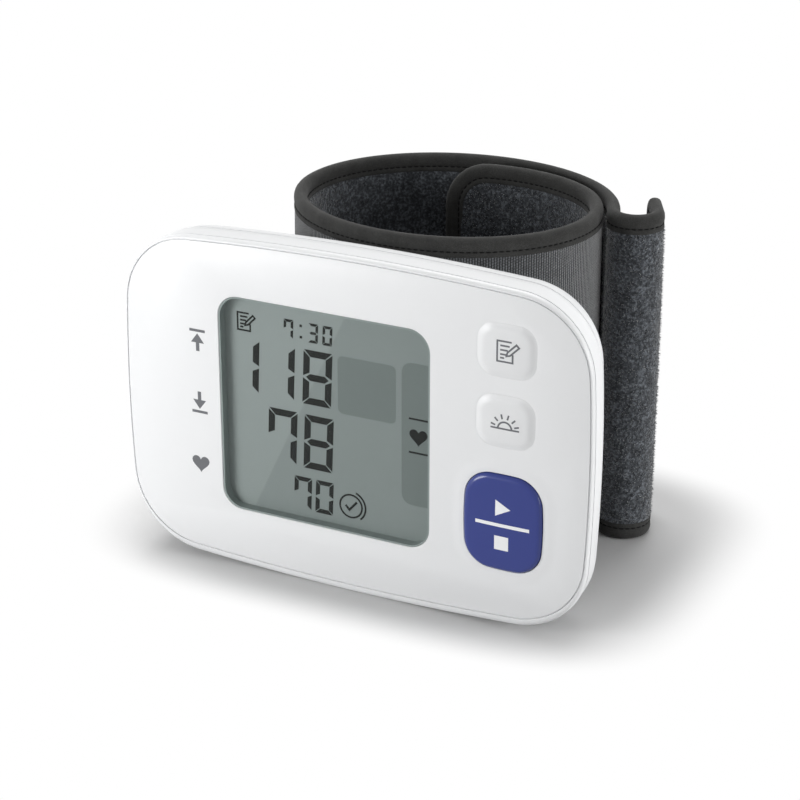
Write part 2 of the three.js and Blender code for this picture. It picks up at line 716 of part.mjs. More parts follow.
// One of the two wedges on the back that carry the curve of the cuff
function cradle(side) {
  const steps = 4;
  const shape = new THREE.Shape();
  const at = (i) => LOOP_X + side * (CRADLE_INNER + ((CRADLE_OUTER - CRADLE_INNER) * i) / steps);
  shape.moveTo(at(0), REAR_INNER + SEAT);
  shape.lineTo(at(steps), REAR_INNER + SEAT);
  for (let i = steps; i >= 0; i -= 1) {
    shape.lineTo(at(i), cuffFaceAt(at(i)) - CRADLE_CLEARANCE);
  }
  shape.closePath();
  return column(shape, MID_Z - CRADLE_HEIGHT / 2, MID_Z + CRADLE_HEIGHT / 2);
}

const bayForm = {
  width: BAY_X1 - BAY_X0,
  height: BAY_INNER_HEIGHT + 2 * BAY_WALL,
  longBulge: CASE_LONG_BULGE,
  sideBulge: CASE_LONG_BULGE,
  corner: BAY_CORNER,
};
const bayX = (BAY_X0 + BAY_X1) / 2;

function rearCase() {
  const start = PARTING_Y + SEAM / 2;
  const deep = CASE_DEPTH - start;
  const outer = stack(caseForm, 0, MID_Z, [
    [start, 0.02 * REAR_ROUNDING, COVER_END_DRAFT],
    [start + 0.18 * deep, 0.03 * REAR_ROUNDING, 0.85 * REAR_END_DRAFT],
    [start + 0.36 * deep, 0.11 * REAR_ROUNDING, REAR_END_DRAFT],
    [start + 0.63 * deep, 0.25 * REAR_ROUNDING, REAR_END_DRAFT],
    [start + 0.84 * deep, 0.46 * REAR_ROUNDING, REAR_END_DRAFT],
    [start + 0.96 * deep, 0.71 * REAR_ROUNDING, REAR_END_DRAFT],
    [CASE_DEPTH, REAR_ROUNDING, REAR_END_DRAFT],
  ]);
  const wallInset = WALL + INNER_CHAMFER;
  const hollow = stack(caseForm, 0, MID_Z, [
    [start - BEYOND, wallInset, REAR_END_DRAFT],
    [start + 0.5 * deep, wallInset, REAR_END_DRAFT],
    [start + 0.66 * deep, 0.45 * REAR_ROUNDING, REAR_END_DRAFT],
    [REAR_INNER, 0.94 * REAR_ROUNDING, REAR_END_DRAFT],
  ]);
  const tongueInset = WALL + SEAT;
  const tongueFront = start - TONGUE_LENGTH;
  const tongueBack = start + TONGUE_LENGTH;
  const tongue = carve(stack(caseForm, 0, MID_Z, [[tongueFront, tongueInset], [tongueBack, tongueInset]]), {
    cut: [stack(caseForm, 0, MID_Z, [
      [tongueFront - BEYOND, tongueInset + TONGUE_WIDTH],
      [tongueBack + BEYOND, tongueInset + TONGUE_WIDTH],
    ])],
  });
  const postRadius = SCREW_HEAD_RADIUS + POST_WALL;
  const posts = caseScrewSpots.map(([x, z]) => rod(x, z, postRadius, POST_FRONT, REAR_INNER + FIT));
  const withinCase = stack(caseForm, 0, MID_Z, [
    [BAY_FRONT - BEYOND, tongueInset],
    [start, tongueInset],
    [start, SEAT],
    [BAY_RIM + BEYOND, SEAT],
  ]);
  const bay = carve(stack(bayForm, bayX, BAY_MID_Z, [[BAY_FRONT, 0], [BAY_RIM, 0]]), { keep: [withinCase] });
  const shell = carve(outer, { cut: [hollow] });
  const pocket = block(
    BAY_X0 + BAY_WALL,
    BAY_X1 - BAY_WALL,
    BAY_FRONT + BAY_WALL,
    BAY_RIM + BEYOND,
    BAY_FLOOR_Z,
    BAY_FLOOR_Z + BAY_INNER_HEIGHT,
  );
  const cuts = [pocket];
  for (const [x, z] of caseScrewSpots) {
    cuts.push(rod(x, z, SCREW_RADIUS + FIT, POST_FRONT - BEYOND, CASE_DEPTH + BEYOND));
    cuts.push(rod(x, z, SCREW_HEAD_RADIUS + FIT, SCREW_SEAT - FIT, CASE_DEPTH + BEYOND));
  }
  for (const z of rivetSpots) {
    cuts.push(rod(LOOP_X, z, RIVET_RADIUS + FIT, REAR_INNER - BEYOND, CASE_DEPTH + BEYOND));
  }
  cuts.push(rod(LOOP_X, MID_Z, CUFF_NOZZLE_RADIUS + FIT, REAR_INNER - BEYOND, CASE_DEPTH + BEYOND));
  return carve(shell, { add: [tongue, ...posts, bay, cradle(-1), cradle(1)], cut: cuts });
}

function keyCap(key) {
  return stack(keyForm(key), KEY_X, key.z, [
    [-key.proud, KEY_EDGE],
    [-0.75 * key.proud, 0.42 * KEY_EDGE],
    [-0.25 * key.proud, 0.04 * KEY_EDGE],
    [FLANGE_FRONT, 0],
    [FLANGE_FRONT, -KEY_FLANGE],
    [FLANGE_BACK, -KEY_FLANGE],
  ]);
}

function holder() {
  const bottom = WINDOW_Z - PANEL_HEIGHT / 2;
  const x0 = WINDOW_X - HOLDER_WIDTH / 2;
  const z0 = WINDOW_Z - HOLDER_HEIGHT / 2;
  const tray = block(x0, x0 + HOLDER_WIDTH, PANEL_FRONT, HOLDER_BACK, z0, z0 + HOLDER_HEIGHT);
  const halfWidth = PANEL_WIDTH / 2 + SEAT;
  const halfHeight = PANEL_HEIGHT / 2 + SEAT;
  const seat = block(
    WINDOW_X - halfWidth,
    WINDOW_X + halfWidth,
    PANEL_FRONT - BEYOND,
    HOLDER_FRONT,
    WINDOW_Z - halfHeight,
    WINDOW_Z + halfHeight,
  );
  const slot = block(
    STRIP_X - STRIP_LENGTH / 2 - FIT,
    STRIP_X + STRIP_LENGTH / 2 + FIT,
    PANEL_FRONT,
    HOLDER_BACK + BEYOND,
    bottom + HOLDER_RIM - FIT,
    bottom + HOLDER_RIM + STRIP_WIDTH + FIT,
  );
  const [x, z] = boardScrewSpots[1];
  const boss = rod(x, z, boardBossRadius, HOLDER_FRONT + FIT, BOARD_FRONT - FIT);
  const hole = rod(x, z, BOARD_SCREW_RADIUS + FIT, HOLDER_FRONT - BEYOND, BOARD_FRONT + BEYOND);
  return carve(tray, { add: [boss], cut: [seat, slot, hole] });
}

const BOARD_BOTTOM = WINDOW_Z - PANEL_HEIGHT / 2 + SEAT;
const BOARD_TOP = WINDOW_Z + PANEL_HEIGHT / 2 - HOLDER_RIM;
const BOARD_LEFT = leftBossX - BOSS_RADIUS;
const BOARD_STEP = WINDOW_X + HOLDER_WIDTH / 2 + SEAT;
const BOARD_INSET = WALL + SEAT + TONGUE_WIDTH + SEAT;
const BOARD_RIGHT = RIGHT - BOARD_INSET;

function mainBoard() {
  const shape = new THREE.Shape();
  shape.moveTo(BOARD_LEFT, BOARD_BOTTOM);
  shape.lineTo(BOARD_RIGHT, BOARD_BOTTOM);
  shape.lineTo(BOARD_RIGHT, BOARD_TOP);
  shape.lineTo(BOARD_STEP, BOARD_TOP);
  shape.lineTo(BOARD_STEP, BOARD_BOTTOM + BOARD_STRIP);
  shape.lineTo(BOARD_LEFT, BOARD_BOTTOM + BOARD_STRIP);
  shape.closePath();
  const front = BOARD_FRONT - BEYOND;
  const back = BOARD_BACK + BEYOND;
  const cuts = caseScrewSpots.map(([x, z]) => rod(x, z, BOSS_RADIUS + SEAT, front, back));
  for (const [x, z] of boardScrewSpots) {
    cuts.push(rod(x, z, BOARD_SCREW_RADIUS + FIT, front, back));
  }
  const withinCase = stack(caseForm, 0, MID_Z, [[front, BOARD_INSET], [back, BOARD_INSET]]);
  return carve(plate(shape, BOARD_FRONT, BOARD_BACK), { keep: [withinCase], cut: cuts });
}

function tactSwitch(z) {
  const half = SWITCH_SIZE / 2;
  const body = block(KEY_X - half, KEY_X + half, SWITCH_FRONT, SWITCH_BACK, z - half, z + half);
  return carve(body, { add: [rod(KEY_X, z, PLUNGER_RADIUS, PLUNGER_FRONT, SWITCH_FRONT + FIT)] });
}

function buttonMat() {
  const half = KEYS.start_stop.width / 2;
  const mat = block(
    KEY_X - half,
    KEY_X + half,
    SWITCH_BACK - MAT_THICKNESS,
    SWITCH_BACK,
    BOARD_BOTTOM + MAT_MARGIN,
    BOARD_TOP - MAT_MARGIN,
  );
  const hole = SWITCH_SIZE / 2 + SEAT;
  const holes = keyList.map(([, key]) => block(
    KEY_X - hole,
    KEY_X + hole,
    SWITCH_FRONT - BEYOND,
    SWITCH_BACK + BEYOND,
    key.z - hole,
    key.z + hole,
  ));
  return carve(mat, { cut: holes });
}

const shell = group('case');
piece(shell, 'front_cover', frontCover(), WHITE, 0.32);
piece(shell, 'rear_case', rearCase(), WHITE, 0.4);
const lensShape = roundedRectangle(WINDOW_X, WINDOW_Z, WINDOW_WIDTH, WINDOW_HEIGHT, WINDOW_CORNER);
const lens = plate(lensShape, WINDOW_RECESS, WINDOW_RECESS + WINDOW_THICKNESS);
piece(shell, 'display_window', lens, 0xcfd6d4, 0.08);
for (const [name, key] of keyList) {
  piece(shell, `${name}_button`, keyCap(key), key.color, 0.35);
}
caseScrewSpots.forEach(([x, z], i) => {
  const size = {
    headRadius: SCREW_HEAD_RADIUS,
    head: SCREW_HEAD,
    radius: SCREW_RADIUS,
    length: SCREW_LENGTH,
  };
  piece(shell, `case_screw_${i + 1}`, screw(x, z, SCREW_SEAT, size), STEEL, 0.35, 0.9);
});

const electronics = group('electronics');
const panelShape = roundedRectangle(WINDOW_X, WINDOW_Z, PANEL_WIDTH, PANEL_HEIGHT, PANEL_CORNER);
piece(electronics, 'lcd_panel', plate(panelShape, PANEL_FRONT, PANEL_FRONT + PANEL_THICKNESS), 0x84908c, 0.3);
piece(electronics, 'lcd_holder', holder(), 0xd9dadb, 0.6);
const stripBottom = WINDOW_Z - PANEL_HEIGHT / 2 + HOLDER_RIM;
piece(electronics, 'lcd_connector_strip', block(
  STRIP_X - STRIP_LENGTH / 2,
  STRIP_X + STRIP_LENGTH / 2,
  HOLDER_FRONT,
  BOARD_FRONT - FIT,
  stripBottom,
  stripBottom + STRIP_WIDTH,
), 0xe08a9a, 0.7);
piece(electronics, 'main_board', mainBoard(), 0x1f6b45, 0.5);
for (const [name, key] of keyList) {
  piece(electronics, `${name}_switch`, tactSwitch(key.z), 0x3a3a3c, 0.5);
}
piece(electronics, 'button_mat', buttonMat(), 0xb8bcc0, 0.8);
const chipZ = KEYS.start_stop.z;
piece(electronics, 'processor_chip', block(
  KEY_X - CHIP_SIZE / 2,
  KEY_X + CHIP_SIZE / 2,
  ON_BOARD,
  ON_BOARD + CHIP_HEIGHT,
  chipZ - CHIP_SIZE / 2,
  chipZ + CHIP_SIZE / 2,
), 0x1c1c1e, 0.5);
const buzzerZ = MID_Z + BOARD_SCREW_HEAD_RADIUS + SEAT + BUZZER_RADIUS;
const buzzerX = BOARD_RIGHT - BUZZER_RADIUS - SEAT;
const buzzer = rod(buzzerX, buzzerZ, BUZZER_RADIUS, ON_BOARD, ON_BOARD + BUZZER_HEIGHT, 20);
piece(electronics, 'buzzer', buzzer, 0x2a2a2c, 0.5);
const sensorX = BOARD_STEP + SEAT + SENSOR_SIZE / 2;
const sensorZ = BOARD_TOP - SEAT - SENSOR_SIZE;
const sensorBody = block(
  sensorX - SENSOR_SIZE / 2,
  sensorX + SENSOR_SIZE / 2,
  ON_BOARD,
  ON_BOARD + SENSOR_HEIGHT,
  sensorZ - SENSOR_SIZE / 2,
  sensorZ + SENSOR_SIZE / 2,
);
const sensorNozzle = nozzle(sensorX, TUBE_Y, sensorZ - SENSOR_SIZE / 2, DOWN);
piece(electronics, 'pressure_sensor', carve(sensorBody, { add: [sensorNozzle] }), 0x4b4d52, 0.5);
boardScrewSpots.forEach(([x, z], i) => {
  const size = {
    headRadius: BOARD_SCREW_HEAD_RADIUS,
    head: BOARD_SCREW_HEAD,
    radius: BOARD_SCREW_RADIUS,
    length: BOARD_BACK + FIT - HOLDER_FRONT,
  };
  piece(electronics, `board_screw_${i + 1}`, screw(x, z, BOARD_BACK + FIT, size), STEEL, 0.35, 0.9);
});

const pneumatics = group('pneumatics');
const pumpX = BAY_X1 + SEAT + PUMP_WIDTH / 2;
const motorBottom = WINDOW_Z + PANEL_HEIGHT / 2 - MOTOR_LENGTH;
const headTop = motorBottom - SEAT;
const headBottom = headTop - PUMP_HEAD_LENGTH;
const pumpDeep = AIR_BACK - AIR_FRONT;
const motorRounding = (pumpDeep - MOTOR_FLAT) / 2;
const motorSection = roundedRectangle(pumpX, AIR_Y, PUMP_WIDTH, pumpDeep, motorRounding);
const pumpMotor = column(motorSection, motorBottom, motorBottom + MOTOR_LENGTH);
piece(pneumatics, 'pump_motor', pumpMotor, 0xc3c6c9, 0.3, 0.9);
const headSection = roundedRectangle(pumpX, AIR_Y, PUMP_WIDTH, pumpDeep, PUMP_HEAD_ROUNDING);
const pumpHead = carve(column(headSection, headBottom, headTop), {
  add: [nozzle(pumpX, TUBE_Y, headBottom, DOWN)],
});
piece(pneumatics, 'pump_head', pumpHead, 0x38393c);

const manifoldX0 = LOOP_X - MANIFOLD_WIDTH / 2;
const manifoldX1 = LOOP_X + MANIFOLD_WIDTH / 2;
const manifoldBottom = MID_Z - MANIFOLD_HEIGHT / 2;
const manifoldTop = MID_Z + MANIFOLD_HEIGHT / 2;
const manifoldBack = AIR_BACK - FIT;
const manifoldBody = block(manifoldX0, manifoldX1, AIR_FRONT, manifoldBack, manifoldBottom, manifoldTop);
const manifoldPorts = [
  nozzle(LOOP_X, TUBE_Y, manifoldBottom, DOWN),
  nozzle(manifoldX1, TUBE_Y, MID_Z, TO_RIGHT),
];
piece(pneumatics, 'air_manifold', carve(manifoldBody, { add: manifoldPorts }), 0x56585c);

const valveBottom = manifoldTop + SEAT + NOZZLE_LENGTH;
const valveBody = block(
  LOOP_X - VALVE_WIDTH / 2,
  LOOP_X + VALVE_WIDTH / 2,
  AIR_FRONT,
  AIR_BACK,
  valveBottom,
  valveBottom + VALVE_LENGTH,
);
const valveNozzle = nozzle(LOOP_X, TUBE_Y, valveBottom, DOWN);
piece(pneumatics, 'exhaust_valve', carve(valveBody, { add: [valveNozzle] }), 0x8d9096, 0.4, 0.6);

const nozzleReach = NOZZLE_LENGTH + FIT;
const pumpTubePath = new THREE.CubicBezierCurve3(
  new THREE.Vector3(pumpX, TUBE_Y, headBottom - nozzleReach),
  new THREE.Vector3(pumpX, TUBE_Y, headBottom - nozzleReach - PUMP_TUBE_DROP),
  new THREE.Vector3(LOOP_X, TUBE_Y, manifoldBottom - nozzleReach - PUMP_TUBE_DROP),
  new THREE.Vector3(LOOP_X, TUBE_Y, manifoldBottom - nozzleReach),
);
piece(pneumatics, 'pump_tube', tube(pumpTubePath, AIR_TUBE_RADIUS, 10), 0xd8d8d2);
const sensorTubePath = new THREE.QuadraticBezierCurve3(
  new THREE.Vector3(sensorX, TUBE_Y, sensorZ - SENSOR_SIZE / 2 - nozzleReach),
  new THREE.Vector3(sensorX, TUBE_Y, MID_Z),
  new THREE.Vector3(manifoldX1 + nozzleReach, TUBE_Y, MID_Z),
);
piece(pneumatics, 'sensor_tube', tube(sensorTubePath, AIR_TUBE_RADIUS, 8), 0xd8d8d2);

const bandFront = LOOP_Y - LOOP_HALF_DEPTH;
const curlerInner = bandFront - BAND / 2 + CLOTH + LAYER_GAP + CURLER;
const nozzleBack = curlerInner + LAYER_GAP - FIT / 2;
const cuffNozzle = carve(rod(LOOP_X, MID_Z, CUFF_NOZZLE_RADIUS, manifoldBack + FIT, nozzleBack), {
  cut: [rod(LOOP_X, MID_Z, CUFF_NOZZLE_BORE, manifoldBack - BEYOND, nozzleBack + BEYOND, 12)],
});
piece(pneumatics, 'cuff_nozzle', cuffNozzle, 0x6a6c70, 0.5);

const power = group('power');

function cell(x, bottom, nubUp) {
  const shoulder = CELL_LENGTH - CELL_NUB;
  const profile = [
    [0, 0],
    [CELL_RADIUS - CELL_BEVEL, 0],
    [CELL_RADIUS, CELL_BEVEL],
    [CELL_RADIUS, shoulder - CELL_BEVEL],
    [CELL_RADIUS - CELL_BEVEL, shoulder],
    [CELL_NUB_RADIUS, shoulder],
    [CELL_NUB_RADIUS, CELL_LENGTH],
    [0, CELL_LENGTH],
  ];
  const geometry = new THREE.LatheGeometry(profile.map(([r, h]) => new THREE.Vector2(r, h)), 20);
  geometry.rotateX(nubUp ? Math.PI / 2 : -Math.PI / 2);
  return geometry.translate(x, CELL_Y, nubUp ? bottom : bottom + CELL_LENGTH);
}

class SpringCurve extends THREE.Curve {
  constructor(x, wide, narrow) {
    super();
    this.x = x;
    this.wide = wide;
    this.narrow = narrow;
  }

  getPoint(share, target = new THREE.Vector3()) {
    const angle = share * SPRING_TURNS * Math.PI * 2;
    const radius = SPRING_RADIUS + (SPRING_TIP_RADIUS - SPRING_RADIUS) * share;
    const z = this.wide + (this.narrow - this.wide) * share;
    return target.set(this.x + radius * Math.cos(angle), CELL_Y + radius * Math.sin(angle), z);
  }
}

const CELL_X2 = CELL_X + CELL_SPACING;
const plateBottom = BAY_FLOOR_Z + FIT;
const lowSpring = plateBottom + CONTACT_PLATE + FIT;
const cellBottom1 = lowSpring + SPRING_HEIGHT + FIT;
const cellBottom2 = plateBottom + CONTACT_PLATE + FIT;
const plateTop = BAY_FLOOR_Z + BAY_INNER_HEIGHT - FIT;
const highSpring = plateTop - CONTACT_PLATE - FIT;
piece(power, 'battery_1', cell(CELL_X, cellBottom1, true), 0x3b3d40, 0.3, 0.6);
piece(power, 'battery_2', cell(CELL_X2, cellBottom2, false), 0x3b3d40, 0.3, 0.6);
const springSteps = 8 * SPRING_TURNS;
const springRise = SPRING_HEIGHT - SPRING_WIRE;
const lowCurve = new SpringCurve(CELL_X, lowSpring + SPRING_WIRE, lowSpring + springRise);
piece(power, 'battery_spring_1', tube(lowCurve, SPRING_WIRE, springSteps, 6), STEEL, 0.3, 0.9);
const highCurve = new SpringCurve(CELL_X2, highSpring - SPRING_WIRE, highSpring - springRise);
piece(power, 'battery_spring_2', tube(highCurve, SPRING_WIRE, springSteps, 6), STEEL, 0.3, 0.9);

function contact(x0, x1, z) {
  const half = CELL_RADIUS - CONTACT_MARGIN;
  return block(x0 - half, x1 + half, CELL_Y - half, CELL_Y + half, z, z + CONTACT_PLATE);
}

piece(power, 'contact_bridge', contact(CELL_X, CELL_X2, plateTop - CONTACT_PLATE), STEEL, 0.3, 0.9);
piece(power, 'contact_minus', contact(CELL_X, CELL_X, plateBottom), STEEL, 0.3, 0.9);
piece(power, 'contact_plus', contact(CELL_X2, CELL_X2, plateBottom), STEEL, 0.3, 0.9);
const batteryCover = stack(bayForm, bayX, BAY_MID_Z, [
  [COVER_FRONT, 0],
  [COVER_FRONT + 0.6 * BATTERY_COVER_THICKNESS, 0.2],
  [COVER_FRONT + BATTERY_COVER_THICKNESS, 1],
]);
piece(power, 'battery_cover', batteryCover, WHITE, 0.4);

// Offsets of the layers from the middle of the band, positive to the outside
const clothOuter = BAND / 2;
const clothInner = clothOuter - CLOTH;
const curlerOuter = clothInner - LAYER_GAP;
const curlerFace = curlerOuter - CURLER;
const bladderOuter = curlerFace - LAYER_GAP;
const bladderInner = bladderOuter - BLADDER;
const liningOuter = bladderInner - LAYER_GAP;
const liningInner = liningOuter - LINING;

const baseEnd = HINGE_AT - BODY_GAP / 2;
const baseStart = EDGE;
const atInnerEnd = { roundStart: INNER_END_CORNER };
const holeFront = CASE_DEPTH - BEYOND;
const holeBack = bandFront + BAND;
const through = (radius) => rivetSpots.map((z) => rod(LOOP_X, z, radius, holeFront, holeBack));
const nozzleHole = rod(LOOP_X, MID_Z, CUFF_NOZZLE_RADIUS + FIT, holeFront, holeBack);

const cuffBase = group('cuff_base');
const baseCloth = strip(baseStart, baseEnd, clothOuter, clothInner, atInnerEnd);
const clothHoles = [...through(RIVET_RADIUS + FIT), nozzleHole];
piece(cuffBase, 'cuff_cloth', carve(baseCloth, { cut: clothHoles }), CLOTH_GREY, 0.9);
const baseCurler = strip(baseStart, baseEnd, curlerOuter, curlerFace, atInnerEnd);
piece(cuffBase, 'curler_plate', carve(baseCurler, { cut: clothHoles }), 0xe6e6e0, 0.5);
const baseBladder = strip(baseStart, baseEnd, bladderOuter, bladderInner, atInnerEnd);
piece(cuffBase, 'air_bladder', carve(baseBladder, { cut: through(RIVET_HEAD_RADIUS + SEAT) }), 0x8a8d91, 0.6);
const baseLining = strip(baseStart, baseEnd, liningOuter, liningInner, atInnerEnd);
piece(cuffBase, 'cuff_lining', baseLining, LINING_GREY, 0.95);
piece(cuffBase, 'cuff_binding', endBinding(baseEnd, 0, INNER_END_CORNER), BINDING_GREY, 0.85);
const patchInner = clothOuter + FIT;
const patchStart = lengthAtTurn(HOOK_PATCH_TURN);
const patchEnd = lengthAtTurn(HOOK_PATCH_TURN + HOOK_PATCH_SWEEP);
const patchEdge = { low: EDGE + HOOK_PATCH_MARGIN };
const patch = strip(patchStart, patchEnd, patchInner + HOOK_PATCH, patchInner, patchEdge);
piece(cuffBase, 'hook_patch', patch, 0x1f2023, 0.95);
rivetSpots.forEach((z, i) => {
  const innerHead = REAR_INNER - FIT - RIVET_HEAD;
  const outerHead = curlerInner + FIT;
  const profile = [
    [0, innerHead],
    [RIVET_HEAD_RADIUS, innerHead],
    [RIVET_HEAD_RADIUS, innerHead + RIVET_HEAD],
    [RIVET_RADIUS, innerHead + RIVET_HEAD],
    [RIVET_RADIUS, outerHead],
    [RIVET_HEAD_RADIUS, outerHead],
    [RIVET_HEAD_RADIUS, outerHead + RIVET_HEAD],
    [0, outerHead + RIVET_HEAD],
  ];
  piece(cuffBase, `cuff_rivet_${i + 1}`, turned(profile, LOOP_X, z, 0), STEEL, 0.35, 0.9);
});

const wrapStart = HINGE_AT + BODY_GAP / 2;
const wrapEnd = PEEL_AT - BODY_GAP / 2;
const cuffWrap = group('cuff_wrap');
piece(cuffWrap, 'wrap_cloth', strip(wrapStart, wrapEnd, clothOuter, clothInner), CLOTH_GREY, 0.9);
piece(cuffWrap, 'wrap_core', strip(wrapStart, wrapEnd, curlerOuter, bladderInner), 0x8a8d91, 0.6);
piece(cuffWrap, 'wrap_lining', strip(wrapStart, wrapEnd, liningOuter, liningInner), LINING_GREY, 0.95);
piece(cuffWrap, 'wrap_binding_top', straightBinding(wrapStart, wrapEnd, BINDING_HIGH), BINDING_GREY, 0.85);
piece(cuffWrap, 'wrap_binding_bottom', straightBinding(wrapStart, wrapEnd, BINDING_LOW), BINDING_GREY, 0.85);

const tailStart = PEEL_AT + BODY_GAP / 2;
const tailEnd = TAIL_END - EDGE;
const atTailEnd = { roundEnd: TAIL_END_CORNER };
const cuffTail = group('cuff_tail');
piece(cuffTail, 'tail_cloth', strip(tailStart, tailEnd, clothOuter, clothInner, atTailEnd), CLOTH_GREY, 0.9);
piece(cuffTail, 'tail_core', strip(tailStart, tailEnd, curlerOuter, bladderInner, atTailEnd), 0x8a8d91, 0.6);
const tailLining = strip(tailStart, tailEnd, liningOuter, liningInner, atTailEnd);
piece(cuffTail, 'tail_lining', tailLining, LINING_GREY, 0.95);
piece(cuffTail, 'tail_binding', endBinding(tailStart, TAIL_END, TAIL_END_CORNER), BINDING_GREY, 0.85);

// The origin is under the middle of the object, on the table
const bounds = new THREE.Box3().setFromObject(monitor);
const middle = bounds.getCenter(new THREE.Vector3());
monitor.position.set(-middle.x, -middle.y, -bounds.min.z);

// Where the moving pieces turn: upright lines on the outside of the band
function pivot(length) {
  const { point, out } = bandAt(length);
  const reach = BAND / 2 + BINDING_PROUD;
  return new THREE.Vector3(point.x + out.x * reach, point.y + out.y * reach, 0).add(monitor.position);
}

monitor.userData = {
  cuffHinge: pivot(HINGE_AT),
  tailHinge: pivot(PEEL_AT),
  keyTravel: KEY_TRAVEL,
  batteryCoverSlide: BAY_X1 - BAY_X0,
};

export default monitor;
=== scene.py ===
# %% [markdown]
# # A wrist blood pressure monitor
# This lesson dresses a finished construction model. Points are in metres: X runs to the right,
# Y to the back and Z up. The object's own sizes are written in millimetres, and its depths are
# measured from the face towards the back.

# %% Load the frame
import math

import bmesh
import bpy
import numpy as np
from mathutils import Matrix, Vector


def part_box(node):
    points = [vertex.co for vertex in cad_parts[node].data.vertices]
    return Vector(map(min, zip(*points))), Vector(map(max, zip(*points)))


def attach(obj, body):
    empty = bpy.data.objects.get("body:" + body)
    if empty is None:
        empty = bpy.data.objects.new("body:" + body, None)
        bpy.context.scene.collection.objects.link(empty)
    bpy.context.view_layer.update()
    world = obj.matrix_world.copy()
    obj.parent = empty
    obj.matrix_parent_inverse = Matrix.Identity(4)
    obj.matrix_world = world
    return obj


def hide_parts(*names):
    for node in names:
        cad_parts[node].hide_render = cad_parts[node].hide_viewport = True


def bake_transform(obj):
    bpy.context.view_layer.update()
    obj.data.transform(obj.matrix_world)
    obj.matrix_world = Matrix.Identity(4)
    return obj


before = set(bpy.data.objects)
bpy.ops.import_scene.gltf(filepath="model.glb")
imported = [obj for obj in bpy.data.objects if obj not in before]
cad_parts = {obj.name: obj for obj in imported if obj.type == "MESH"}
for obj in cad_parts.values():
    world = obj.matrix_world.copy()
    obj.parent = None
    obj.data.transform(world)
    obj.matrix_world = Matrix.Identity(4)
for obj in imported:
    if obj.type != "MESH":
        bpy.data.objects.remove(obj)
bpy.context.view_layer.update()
MM = 0.001
FACE_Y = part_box("front_cover")[0].y

# %% [markdown]
# ## Camera
# The photograph looks at the face from the right and from above, through a long lens that keeps
# the sides of the case nearly parallel. A camera could be placed by its location and rotation.
# Angles round one point and a distance are easier to adjust, as each changes one thing in the view.

# %% Camera
VIEW_AZIMUTH = math.radians(26.8)
VIEW_ELEVATION = math.radians(23.0)
VIEW_DISTANCE = 0.385
VIEW_TARGET = Vector((0.00995, FACE_Y, 0.03925))
SENSOR_WIDTH = 36
LENS = 101.8
NEAREST = 0.01

towards_camera = Vector((
    math.sin(VIEW_AZIMUTH) * math.cos(VIEW_ELEVATION),
    -math.cos(VIEW_AZIMUTH) * math.cos(VIEW_ELEVATION),
    math.sin(VIEW_ELEVATION),
))
camera_data = bpy.data.cameras.new("camera")
camera_data.sensor_width = SENSOR_WIDTH
camera_data.lens = LENS
camera_data.clip_start = NEAREST
camera = bpy.data.objects.new("camera", camera_data)
camera.location = VIEW_TARGET + towards_camera * VIEW_DISTANCE
camera.rotation_mode = "QUATERNION"
camera.rotation_quaternion = (-towards_camera).to_track_quat("-Z", "Y")
bpy.context.collection.objects.link(camera)
bpy.context.scene.camera = camera
bpy.context.scene.view_settings.view_transform = "Standard"
print("camera at", [round(x, 3) for x in camera.location])

# %% [markdown]
# ## Colours and shared effects
# A given colour is an sRGB value, and a shader wants a linear one, so a small function turns one
# into the other. Effects that several finishes share are node groups. Each group puts out a height
# or a mask that changes over the surface, and the Principled shader stays outside.

# %% Node helpers
def linear(hex_colour):
    """An sRGB colour such as "#3b4590" as linear red, green, blue and alpha."""
    values = [int(hex_colour[i:i + 2], 16) / 255 for i in (1, 3, 5)]
    return [v / 12.92 if v <= 0.04045 else ((v + 0.055) / 1.055) ** 2.4 for v in values] + [1.0]


def feed(tree, socket, value):
    """Sets an input to a plain value, or links it to another node's output."""
    if isinstance(value, bpy.types.NodeSocket):
        tree.links.new(value, socket)
    else:
        socket.default_value = value


def connect(tree, node, **inputs):
    """Feeds a node's inputs by name, with an underscore for each space."""
    for name, value in inputs.items():
        feed(tree, node.inputs[name.replace("_", " ")], value)


def add_node(tree, kind, **settings):
    """A node whose plain properties and inputs are set by name."""
    node = tree.nodes.new(kind)
    for name, value in settings.items():
        if hasattr(node, name):
            setattr(node, name, value)
        else:
            connect(tree, node, **{name: value})
    return node


def calculate(tree, operation, *values):
    """A Math node, whose inputs are numbers or sockets, as its output socket."""
    node = add_node(tree, "ShaderNodeMath", operation=operation)
    for socket, value in zip(node.inputs, values):
        feed(tree, socket, value)
    return node.outputs[0]


def named_tree(kind, name, inputs, outputs):
    """An empty tree with its inputs and its end; a socket without a number carries a shape."""
    tree = bpy.data.node_groups.new(name, kind)
    for side, sockets in (("INPUT", inputs), ("OUTPUT", outputs)):
        for socket, value in sockets.items():
            carries = "NodeSocketGeometry" if value is None else "NodeSocketFloat"
            made = tree.interface.new_socket(socket, in_out=side, socket_type=carries)
            if value is not None:
                made.default_value = value
    return tree, tree.nodes.new("NodeGroupInput").outputs, tree.nodes.new("NodeGroupOutput")


print("white as linear values", linear("#ffffff"))

# %% Material helpers
def ramp(tree, value, stops):
    """A colour ramp over a value, with stops as (position, colour), as its output socket."""
    node = add_node(tree, "ShaderNodeValToRGB", Fac=value)
    elements = node.color_ramp.elements
    for i, (position, colour) in enumerate(stops):
        element = elements[i] if i < 2 else elements.new(position)
        element.position, element.color = position, linear(colour)
    return node.outputs["Color"]


def object_place(tree):
    return add_node(tree, "ShaderNodeTexCoord").outputs["Object"]


def axes(tree, place):
    """The X, Y and Z of a place as sockets."""
    return add_node(tree, "ShaderNodeSeparateXYZ", Vector=place).outputs


